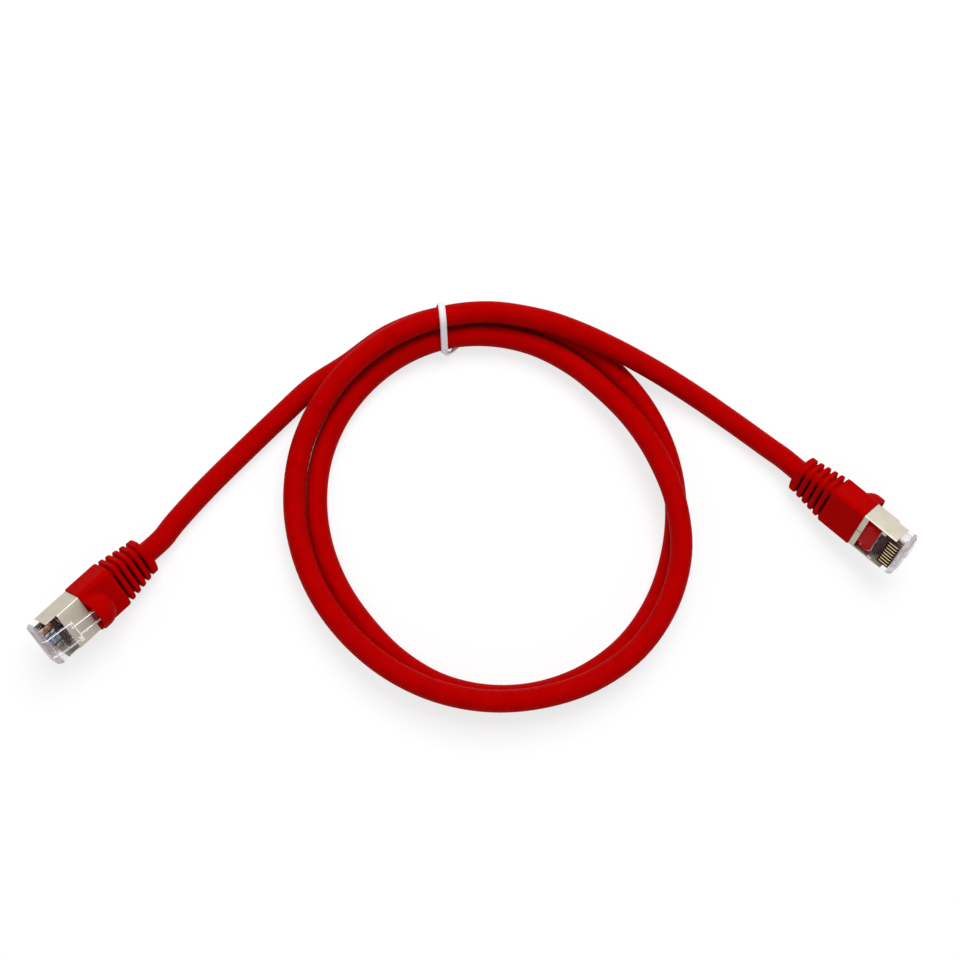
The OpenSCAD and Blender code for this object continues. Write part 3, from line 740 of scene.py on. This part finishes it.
def groove_depth(x, c, s, reach):
    """How deep the ribs lie below the outline: slots in the broad faces, V grooves in the sides."""
    off = min(abs(x - g) for g in GROOVES)
    slot = 1 / (1 + (off / SLOT_HALF) ** 4)
    vee = 0.5 * (1 + math.cos(math.pi * min(off / VEE_HALF, 1)))
    crown = CROWN * max(1 - off / (RIB_PITCH / 2), 0) ** 2
    facing = facing_latch(c, s)
    room = np.maximum(reach - rounded_reach(c, s, CORE_W / 2, CORE_H / 2, CORE_R), 0)
    height = np.clip(0.5 + reach * s / BOOT_H, 0, 1)
    deep = np.minimum(room, SLOT_DEEP) * slot * facing
    deep += np.minimum(room, VEE_DEEP * (0.5 + 0.5 * height)) * vee * (1 - facing)
    return np.maximum(deep, crown)


def hood_reach(x, c, s):
    """How far the hood's dome lies from the boot's middle, 0 where it isn't."""
    back = BOOT_L - HOOD_L - x
    ring = HOOD_R if back < 0 else math.sqrt(max(HOOD_R ** 2 - back ** 2, 0))
    if ring <= HOOD_LEAST:
        return np.zeros_like(c)
    rise = BOOT_H / 2 + (HOOD_RISE - BOOT_H / 2) * ring / HOOD_R
    inside = ring ** 2 - (rise * c) ** 2
    return np.where((inside > 0) & (s > 0), rise * s + np.sqrt(np.maximum(inside, 0)), 0)


def boot_outline(x):
    """The boot's outline at one place along it, as points in x, y and z."""
    turn = np.linspace(0, 2 * np.pi, BOOT_SIDES, endpoint=False)
    c, s = np.cos(turn), np.sin(turn)
    reach = tip_reach(x, c, s)
    if COLLAR_X < x < BODY_X + GROOVE_W:
        reach = reach - groove_depth(x, c, s, reach)
    if x < COLLAR_BEVEL:
        reach = np.minimum(reach, MOUTH_R + (COLLAR_W / 4) * x / COLLAR_BEVEL)
    hood = hood_reach(x, c, s)
    if hood.any():
        reach = np.where(hood > reach - HOOD_BLEND, soft_most(reach, hood, HOOD_BLEND), reach)
    end = min(max((x - BOOT_L + RIM) / RIM, 0), 1)
    reach = reach - RIM * (1 - math.sqrt(1 - end * end))
    return [(x, float(y), float(z)) for y, z in zip(reach * c, reach * s)]


def hood_room():
    """The latch tail's room: the hood's dome drawn in by its wall, above a flat floor."""
    r = HOOD_R - HOOD_T
    rings = []
    for k in range(HOOD_RINGS + 1):
        back = k / HOOD_RINGS * (math.pi / 2)
        rings.append((BOOT_L - HOOD_L - r * math.cos(back), max(r * math.sin(back), 0.02)))
    rings.append((BOOT_L + 1, r))
    middle = (0, HOOD_RISE)
    dome = skin([[(x, *p) for p in circle(ring, HOOD_SIDES, middle)] for x, ring in rings])
    return cut(dome, block(0, 2 * BOOT_L, -10, 10, -10, BOOT_H / 2))


def boot_mesh():
    """The boot, hollow, with a number on each point for how deep in a slot it lies, which paints shade
    into the slots.
    """
    stretches = (COLLAR_STOPS, RIB_STOPS, NECK_STOPS, HOOD_STOPS)
    stops = [x for stretch in stretches for x in np.arange(*stretch)]
    stops += [BOOT_L - RIM * (1 - k / RIM_STEPS) for k in range(RIM_STEPS + 1)]
    solid = skin([boot_outline(float(x)) for x in stops])
    solid = cut(solid, hood_room(), round_bar(-1, BORE_END, JACKET_R + BORE_GAP, BORE_SIDES),
                block(POCKET_X, BOOT_L + 2, -POCKET_W / 2, POCKET_W / 2, -POCKET_H / 2, POCKET_H / 2))
    place = np.empty(3 * len(solid.vertices))
    solid.vertices.foreach_get("co", place)
    x, y, z = place.reshape(-1, 3).T
    r = np.maximum(np.hypot(y, z), 1e-6)
    # Painted shade: the deeper a point lies below the rib's outline on the broad faces, the darker it is
    # drawn
    below = tip_reach(x, y / r, z / r) - r - CROWN
    deep = PAINTED_SHADE_MOST * facing_latch(y, z) * np.clip(below / PAINTED_SHADE_FADE, 0, 1)
    deep[(x < COLLAR_X) | (x > BODY_X + PAINTED_SHADE_PAST) | (r < PAINTED_SHADE_LEAST_R)] = 0
    solid.attributes.new("crease", "FLOAT", "POINT").data.foreach_set("value", deep)
    return solid


boot = boot_mesh()
for key, plug in PLUGS.items():
    name = "boot_%s_moulding" % key
    add_piece(name, on_plug(boot, plug), boot_red, sharp=38)
    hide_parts("boot_" + key)


# ---------------------------------------------------------------- the cable's end in a plug

JACKET_SIDES = 64
PRESS_STEPS = 12
JACKET_START, JACKET_ROUND_TO = 1.2, 14
CUT_EDGE, CUT_DEPTH, CUT_OUTER, CUT_INNER = 0.1, 1.2, 0.08, 0.06
FOIL_OUT, FOIL_BACK = 0.25, 1.0
FOIL_OUTER, FOIL_LIP, FOIL_INNER = 0.03, 0.05, 0.15
# Waves of the foil's torn edge: their height and their step from point to point
TEARS = ((0.07, 0.7), (0.04, 1.9))


def pressed(x):
    """How far the plug has pressed the jacket flat at one place along it."""
    return smoothstep(min(max((x - PRESS_FROM) / (PRESS_TO - PRESS_FROM), 0), 1))


def jacket_ring(x, inset):
    """The jacket's outline inside the plug, round at the boot and pressed flat ahead of it."""
    t = pressed(x)
    turn = np.linspace(0, 2 * np.pi, JACKET_SIDES, endpoint=False)
    c, s = np.cos(turn), np.sin(turn)
    flat = rounded_reach(c, s, PRESSED_W, PRESSED_H, PRESSED_R)
    reach = (1 - t) * JACKET_R + t * flat - inset
    return [(x, float(y), float(z)) for y, z in zip(reach * c, reach * s)]


def jacket_end():
    """The jacket inside the boot and the plug, cut square."""
    end, inner = JACKET_END_X, JACKET_WALL
    along = (JACKET_START, JACKET_ROUND_TO, *np.linspace(PRESS_FROM, PRESS_TO, PRESS_STEPS),
             end - CUT_EDGE)
    rings = [jacket_ring(x, 0) for x in along]
    rings += [jacket_ring(end, CUT_OUTER), jacket_ring(end, inner - CUT_INNER),
              jacket_ring(end - CUT_EDGE, inner), jacket_ring(end - CUT_DEPTH, inner)]
    return skin(rings)


def foil_end():
    """The foil's torn edge, just ahead of the jacket's."""
    back, front = JACKET_END_X - FOIL_BACK, JACKET_END_X + FOIL_OUT
    stops = ((back, FOIL_OUTER), (front, FOIL_LIP), (front, FOIL_INNER), (back, FOIL_INNER))
    rings = [jacket_ring(x, JACKET_WALL + inset) for x, inset in stops]
    for ring in rings[1:3]:
        for k, (x, y, z) in enumerate(ring):
            ring[k] = (x + sum(high * math.sin(k * step) for high, step in TEARS), y, z)
    return skin(rings)


# ---------------------------------------------------------------- the plug's housing and latch

HOUSING_BEVEL = 0.2
EAR_BACK, EAR_FRONT, EAR_TOP, EAR_W, EAR_SUNK = 3.4, 0.5, 0.9, 1.4, 0.3
RAIL_IN, RAIL_OUT, RAIL_HALF, RAIL_BEVEL, RAIL_INTO = 2.97, 4.8, 2.95, 0.1, 0.1
HINGE_SIDES, HINGE_HALF = 24, 3.1
NOSE_WALL = 1.4
ROOM_BEHIND, ROOM_GAP, ROOM_RINGS = 1.5, 0.06, 10
SLOT_ROOM, SLOT_W_HALF = 0.05, 0.47
CATCH_L, CATCH_TOP_L, CATCH_BEVEL = 1.1, 0.7, 0.12
CATCH_INSET, CATCH_SUNK, CATCH_OVERLAP = 0.02, 0.1, 0.2
# Material slots of the clear pieces: the latch has the first two
BODY_SLOT, EDGE_SLOT, DARK_SLOT, NOSE_SLOT = 0, 1, 2, 3


def slot_y(i):
    return (i - (len(WIRES) - 1) / 2) * PITCH


def slot_z(i):
    return WIRE_ROW_Z + (0.5 if i % 2 == 0 else -0.5) * WIRE_STAGGER


def nosed_body():
    """The housing's outside: a block with a stepped, bevelled nose and two raised corners."""
    half, low, high = HOUSING_W / 2, -BODY_H / 2, BODY_H / 2
    body = prism([(SHOULDER_X, low), (NOSE_X - NOSE_BEVEL, low), (NOSE_X, low + NOSE_BEVEL),
                  (NOSE_X, NOSE_TOP - NOSE_BEVEL), (NOSE_X - NOSE_BEVEL / 2, NOSE_TOP),
                  (STEP_X + 1, NOSE_TOP), (STEP_X, high), (SHOULDER_X, high)], -half, half)
    back, front = NOSE_X - EAR_BACK, NOSE_X - EAR_FRONT
    ear = [(back, NOSE_TOP - EAR_SUNK), (front, NOSE_TOP - EAR_SUNK), (front, NOSE_TOP),
           (NOSE_X - EAR_TOP, high), (back, high)]
    ears = [prism(ear, *sorted((s * half, s * (half - EAR_W)))) for s in (-1, 1)]
    # The bevels take the edge material, a painted highlight
    return bevelled(united(body, *ears), HOUSING_BEVEL, 2, EDGE_SLOT)


def housing_room():
    """What the housing is hollow for: the jacket, the wires, the latch's root and the blades."""
    along = (*np.linspace(SHOULDER_X - ROOM_BEHIND, PRESS_TO, ROOM_RINGS), JACKET_END_X)
    bore = skin([jacket_ring(x, -ROOM_GAP) for x in along])
    # A few hundredths keep the rooms' faces from lying in one plane
    half = CAVITY_W / 2
    cavity = block(JACKET_END_X - 0.05, NOSE_X - NOSE_WALL, -half, half, CAVITY_LOW, CAVITY_HIGH)
    lead_in = block(JACKET_END_X - 0.04, BAR_X - 0.05, 0.01 - half, half - 0.01,
                    -LEAD_IN_H / 2, LEAD_IN_H / 2)
    root = prism(circle(HINGE_ROOM, HINGE_SIDES, HINGE), -HINGE_HALF, HINGE_HALF)
    slots = []
    for y in (slot_y(i) for i in range(len(WIRES))):
        slot = block(BLADE_X - SLOT_ROOM, BLADE_X + BLADE_L + SLOT_ROOM,
                     y - SLOT_W_HALF, y + SLOT_W_HALF, -BODY_H / 2 - 1, CAVITY_LOW + 0.02)
        slots.append(marked(slot, DARK_SLOT))
    return bore, cavity, lead_in, root, *slots


def housing():
    """The clear body: a stepped nose with two raised corners, a cavity, eight slots and two rails."""
    body = cut(nosed_body(), *housing_room())
    rails = []
    for s in (-1, 1):
        y = sorted((s * RAIL_IN, s * RAIL_OUT))
        rail = block(REAR_X, SHOULDER_X + RAIL_INTO, *y, -RAIL_HALF, RAIL_HALF)
        rails.append(bevelled(rail, RAIL_BEVEL, 1))
    body = joined(body, *rails)
    whole = bmesh.new()
    whole.from_mesh(body)
    bmesh.ops.bisect_plane(whole, geom=[*whole.verts, *whole.edges, *whole.faces],
                           plane_co=(NOSE_FROM, 0, 0), plane_no=(1, 0, 0))
    for face in whole.faces:
        if face.material_index == BODY_SLOT and face.calc_center_median().x > NOSE_FROM:
            face.material_index = NOSE_SLOT
    bmesh.ops.triangulate(whole, faces=whole.faces)
    clean(whole)
    whole.to_mesh(body)
    whole.free()
    return body


def along_latch(u, w):
    """A place u along the latch's slope and w above it, as x and z in the plug's frame."""
    tilt = math.radians(LATCH_SLOPE)
    c, s = math.cos(tilt), math.sin(tilt)
    return HINGE[0] + u * c + w * s, HINGE[1] - u * s + w * c


def latch():
    """The clear latch, drawn along its own slope from the rounded root back to the tail."""
    low, high = LATCH_UNDER, LATCH_UNDER + LATCH_T
    wide, narrow, e = SHOULDER_W / 2, LATCH_W / 2, LATCH_EDGE
    shoulder, tail = -LATCH_SHOULDER_L, -LATCH_L
    # Place along it, lower and upper face, half its width
    root_stops = [(0.55, -0.12, 0.12, wide - e), (0.48, -0.3, 0.32, wide), (0.22, -0.5, 0.6, wide),
                  (-0.1, -0.54, 0.85, wide), (-0.4, -0.35, 1.1, wide), (-0.7, -0.1, high, wide)]
    wide_stops = [(-1.3, low, high, wide), (shoulder + e, low, high, wide),
                  (shoulder, low, high, wide - e)]
    tail_stops = [(shoulder - 0.05, low, high, narrow), (tail + 0.5, low, high, narrow),
                  (tail + e, low, high - 0.3, narrow), (tail, low + e / 2, high - 0.5, narrow - e)]
    rings = []
    for u, w0, w1, half in root_stops + wide_stops + tail_stops:
        k = min(e, (w1 - w0) / 4)
        corners = [(half - k, w0), (half, w0 + k), (half, w1 - k), (half - k, w1),
                   (k - half, w1), (-half, w1 - k), (-half, w0 + k), (k - half, w0)]
        ring = []
        for y, w in corners:
            x, z = along_latch(u, w)
            ring.append((x, y, z))
        rings.append(ring)
    strip = skin(rings[::-1])
    n = len(rings[0])
    # The chamfered corners and the shoulder's step take the edge material, a painted highlight
    marks = [EDGE_SLOT if k % 2 == 0 else BODY_SLOT for _ in rings[1:] for k in range(n)]
    rim = len(tail_stops)
    marks[rim * n:rim * n + n] = [EDGE_SLOT] * n
    strip.polygons.foreach_set("material_index", marks + [EDGE_SLOT, BODY_SLOT])
    near, foot, top = shoulder + CATCH_INSET, high - CATCH_SUNK, high + CATCH_H
    outline = [(shoulder + CATCH_L, foot), (shoulder + CATCH_TOP_L, top), (near, top), (near, foot)]
    outline = [along_latch(u, w) for u, w in outline]
    catches = []
    for side in (-1, 1):
        y = sorted((side * (wide - CATCH_INSET), side * (narrow - CATCH_OVERLAP)))
        catches.append(bevelled(prism(outline, *y), CATCH_BEVEL, 1, EDGE_SLOT))
    return joined(strip, *catches)


# ---------------------------------------------------------------- the plug's metal and wires

FOLD_STEPS = 5
SEAM_HALF = 0.15
SHIELD_BEVEL = 0.04
BLADE_BEVEL, BLADE_STEPS = 0.07, 6
SIDEWAYS = 0.9


def fold(cy, cz, start):
    """A quarter turn of the sheet, from an angle in degrees, as points in y and z."""
    angles = [math.radians(start + 90 * k / FOLD_STEPS) for k in range(FOLD_STEPS + 1)]
    return [(cy + SHIELD_R * math.cos(a), cz + SHIELD_R * math.sin(a)) for a in angles]


def in_sheet(x, y, z):
    """Whether the shield has metal here: the strip, the tabs, the sides and the short top."""
    w, h = PLUG_W / 2, BODY_H / 2 + SHIELD_T
    under = z < -h + 0.02
    tab = abs(y) > w - SHIELD_TAB_W and BAR_X - BAR_L < x < BAR_X
    if x > STRIP_END and under and not tab:
        return False
    return not (x > SHIELD_TOP_END and z > NOSE_TOP)


def folded_shield():
    """One sheet, folded round the housing: a strip with a seam, two sides, a top and two small tabs."""
    w, h, r = PLUG_W / 2, BODY_H / 2 + SHIELD_T, SHIELD_R
    half = [(SEAM_HALF, -h), (w - SHIELD_TAB_W, -h), *fold(w - r, -h + r, -90), (w, NOSE_TOP),
            *fold(w - r, h - r, 0), (0, h)]
    path = half + [(-y, z) for y, z in reversed(half[:-1])]
    xs = [SHOULDER_X - SHIELD_T, STRIP_END, BAR_X - BAR_L, SHIELD_TOP_END, BAR_X, SHIELD_END - 0.5,
          SHIELD_END]
    vertices = [(x, y, z) for x in xs for y, z in path]
    n = len(path)
    faces = []
    for i in range(len(xs) - 1):
        x = (xs[i] + xs[i + 1]) / 2
        for k in range(n - 1):
            y, z = ((a + b) / 2 for a, b in zip(path[k], path[k + 1]))
            if in_sheet(x, y, z):
                a = i * n + k
                faces.append((a, a + n, a + n + 1, a + 1))
    sheet = mesh_of(vertices, faces)
    whole = bmesh.new()
    whole.from_mesh(sheet)
    loose = [v for v in whole.verts if not v.link_faces]
    bmesh.ops.delete(whole, geom=loose, context="VERTS")
    bmesh.ops.recalc_face_normals(whole, faces=whole.faces)
    outward = 0
    for face in whole.faces:
        middle = face.calc_center_median()
        outward += face.normal.y * middle.y + face.normal.z * middle.z
    if outward < 0:
        bmesh.ops.reverse_faces(whole, faces=whole.faces)
    whole.to_mesh(sheet)
    whole.free()
    thick = ("SOLIDIFY", {"thickness": SHIELD_T, "offset": -1.0, "use_even_offset": True})
    return shaped(sheet, thick, bevel(SHIELD_BEVEL, 1, angle=60))


def blades():
    """Eight gold blades with rounded contact edges, their sides drawn dark as painted shade."""
    back, front, r = BLADE_X, BLADE_X + BLADE_L, BLADE_R
    meshes = []
    for i in range(len(WIRES)):
        high = slot_z(i) - WIRE_R
        outline = []
        for cx, start in ((back + r, 180), (front - r, 270)):
            for k in range(BLADE_STEPS + 1):
                a = math.radians(start + 90 * k / BLADE_STEPS)
                outline.append((cx + r * math.cos(a), BLADE_LOW + r + r * math.sin(a)))
        outline += [(front, high - r), (front - r, high), (back + r, high), (back, high - r)]
        blade = prism(outline, slot_y(i) - BLADE_T / 2, slot_y(i) + BLADE_T / 2)
        blade = bevelled(blade, BLADE_BEVEL, 2)
        for face in blade.polygons:
            # The sides take the dark gold of painted shade
            face.material_index = 1 if abs(face.normal.y) > SIDEWAYS else 0
        meshes.append(blade)
    return joined(*meshes)


COMB_GAP, COMB_BEVEL = 0.05, 0.05
COMB_FROM, COMB_TO = JACKET_END_X + 0.3, NOSE_X - 1.5
HOLE_GAP, HOLE_SIDES = 0.04, 16
COMB_SLOT_HALF, COMB_SLOT_SPARE = 0.2, 0.1


def load_bar():
    """The comb that holds the wires in a row, with a slotted floor which the blades pass through."""
    half = CAVITY_W / 2 - COMB_GAP
    bar = block(BAR_X, BAR_X + BAR_L, -half, half, CAVITY_LOW, CAVITY_HIGH - COMB_GAP)
    floor = block(COMB_FROM, COMB_TO, 0.02 - half, half - 0.02, CAVITY_LOW + 0.03, COMB_TOP)
    holes, slots = [], []
    for i in range(len(WIRES)):
        y, z = slot_y(i), slot_z(i)
        holes.append(round_bar(BAR_X - 1, BAR_X + BAR_L + 1, WIRE_R + HOLE_GAP, HOLE_SIDES, (y, z)))
        slots.append(block(BLADE_X - COMB_SLOT_SPARE, BLADE_X + BLADE_L + COMB_SLOT_SPARE,
                           y - COMB_SLOT_HALF, y + COMB_SLOT_HALF, -3, 0))
    return bevelled(cut(united(bar, floor), *holes, *slots), COMB_BEVEL, 1)


# Where each wire leaves the jacket: its pair's place round the middle, and its side of the pair
PAIR_OFF, WIRE_OFF = 1.25, 0.42
WIRE_PAIR_TURN = [180, 180, 270, 90, 90, 270, 0, 0]
WIRE_PAIR_SIDE = [1, -1, -1, -1, 1, 1, 1, -1]
WIRE_STEPS, WIRE_SIDES = 8, 14
WIRE_FROM, STRAIGHT_TO, WIRE_TO = JACKET_END_X - 1, JACKET_END_X - 0.3, NOSE_X - 1.7
SPREAD_FROM, SPREAD_L = JACKET_END_X + 0.1, BAR_X - JACKET_END_X - 0.2


def wire(i, flip):
    """A wire from inside the jacket's end, through the load bar, to the end of its slot."""
    a = math.radians(WIRE_PAIR_TURN[i])
    level = WIRE_PAIR_TURN[i] % 180 == 0
    side = WIRE_OFF * WIRE_PAIR_SIDE[i]
    y0 = PAIR_OFF * math.cos(a) + (0 if level else side)
    z0 = flip * PAIR_OFF * math.sin(a) + (side if level else 0)
    y1, z1 = slot_y(i), slot_z(i)
    line = [Vector((WIRE_FROM, y0, z0)), Vector((STRAIGHT_TO, y0, z0))]
    for k in range(WIRE_STEPS + 1):
        t = k / WIRE_STEPS
        s = smoothstep(t)
        line.append(Vector((SPREAD_FROM + SPREAD_L * t, y0 + (y1 - y0) * s, z0 + (z1 - z0) * s)))
    line.append(Vector((WIRE_TO, y1, z1)))
    return tube_mesh(line, WIRE_R, WIRE_SIDES)


# ---------------------------------------------------------------- both plugs

housing_materials = (clear, clear_edge, slot_shade, clear_nose)
# Each shape: its mesh, its materials and the record's slot
SHAPES = {"housing": (housing(), housing_materials, "clear_plastic"),
          "shield": (folded_shield(), metal, "shield_metal"),
          "contacts": (blades(), (gold, gold_painted_shade), "gold_contact"),
          "load_bar": (load_bar(), painted_shade_bar, "clear_plastic")}
latch_shape = latch()
jacket_end_shape = jacket_end()
foil_end_shape = foil_end()
wire_materials = {w: wire_material(w) for w in WIRES}
for key, plug in PLUGS.items():
    for kind, (shape, material, slot) in SHAPES.items():
        node = "%s_%s" % (kind, key)
        piece = add_piece(node + "_detail", on_plug(shape, plug), material, sharp=35)
        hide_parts(node)
    node = "latch_" + key
    piece = add_piece(node + "_detail", on_plug(latch_shape, plug), (clear_latch, latch_edge), node,
                      sharp=35)
    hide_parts(node)
    piece = add_piece("jacket_end_" + key, on_plug(jacket_end_shape, plug), jacket_red, sharp=40)
    piece = add_piece("foil_end_" + key, on_plug(foil_end_shape, plug), foil, sharp=40)
    for i, name in enumerate(WIRES):
        mesh = on_plug(wire(i, 1 if key == "a" else -1), plug)
        piece = add_piece("insulated_%s_%s" % (name, key), mesh, wire_materials[name], sharp=60)
        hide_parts("wire_%s_%s" % (key, name))

# ---------------------------------------------------------------- the tie

TIE_ANGLE = LOOP_START + LOOP_STEP
TIE_TURN = 9
TIE_W, TIE_T, TIE_GAP = 1.8, 0.9, 0.25
TIE_STEPS = 144
TIE_TURNS = 3
# Half of the band's section from its edge to its crease: share of its half width, share of its thickness
TIE_SECTION = [(1, 0.2), (0.85, 0.62), (0.5, 0.82), (0.15, 0.6)]
TIE_CREASE, TIE_UNDER = (0, 0.48), (0.8, 0.05)
TWIST_R, TWIST_OFF, TWIST_TURNS, TWIST_SIDES, TWIST_STEPS = 0.33, 0.27, 1.75, 12, 10
# The ends' route: along the cable, outwards from the strand's inner side, up
TWIST_ROUTE = [(-0.2, -0.45, 1), (0, -0.65, 0), (0.5, -0.8, -1), (1.3, -0.6, -2), (2.2, 0.1, -3),
               (3.6, 1.4, -3.7), (6, 2.3, -3.8), (8.6, 2.6, -3.85)]


def tie_frame():
    """From the tie's own frame (along the cable, outwards, up) in millimetres to the object's."""
    turn = Matrix.Rotation(math.radians(-TIE_ANGLE - TIE_TURN), 4, "Z")
    return Matrix.Translation(loop_point(TIE_ANGLE + 360)) @ turn @ Matrix.Scale(MM, 4)


def tie_outline():
    """The loop round the strands: points out and up from the inner one, each with its outward way."""
    middle = Vector((*LOOP_AT, 0)) * MM
    inner = loop_point(TIE_ANGLE + 360)
    inner_r = (Vector((inner.x, inner.y, 0)) - middle).length
    strands = []
    for turn in range(TIE_TURNS):
        p = loop_point(TIE_ANGLE + 360 * turn)
        out = (Vector((p.x, p.y, 0)) - middle).length - inner_r
        strands.append((out / MM, (p.z - inner.z) / MM))
    r = JACKET_R + TIE_GAP
    outline = []
    for n in circle(1, TIE_STEPS):
        best = max(strands, key=lambda p: p[0] * n[0] + p[1] * n[1])
        outline.append((Vector((best[0] + r * n[0], best[1] + r * n[1])), Vector(n)))
    return outline


def tie_band():
    """A flat white-coated band with a crease along its middle, closed round the strands."""
    left = [(-x, h) for x, h in TIE_SECTION]
    section = [*left, TIE_CREASE, *reversed(TIE_SECTION), TIE_UNDER, (-TIE_UNDER[0], TIE_UNDER[1])]
    rings = []
    for p, n in tie_outline():
        rings.append([(x * TIE_W / 2, p.x + n.x * h * TIE_T, p.y + n.y * h * TIE_T) for x, h in section])
    rings.append(rings[0])
    mesh = skin(rings, closed_ends=False)
    mesh.transform(tie_frame())
    return mesh


def tie_twist():
    """The tie's two ends, twisted together: past the inner strand's edge, then tucked under it."""
    route = smooth([Vector((x, out - JACKET_R, up)) for x, out, up in TWIST_ROUTE], TWIST_STEPS)
    frames = frames_along(route)
    meshes = []
    for phase in (0, math.pi):
        line = []
        for k, (p, (side, up)) in enumerate(zip(route, frames)):
            a = phase + k / len(route) * TWIST_TURNS * 2 * math.pi
            line.append(p + (side * math.cos(a) + up * math.sin(a)) * TWIST_OFF)
        meshes.append(tube_mesh(line, TWIST_R, TWIST_SIDES))
    mesh = joined(*meshes)
    mesh.transform(tie_frame())
    return mesh


tie = add_piece("tie_band", joined(tie_band(), tie_twist()), white_coat, sharp=50)
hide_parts("tie_coating", "tie_wire")
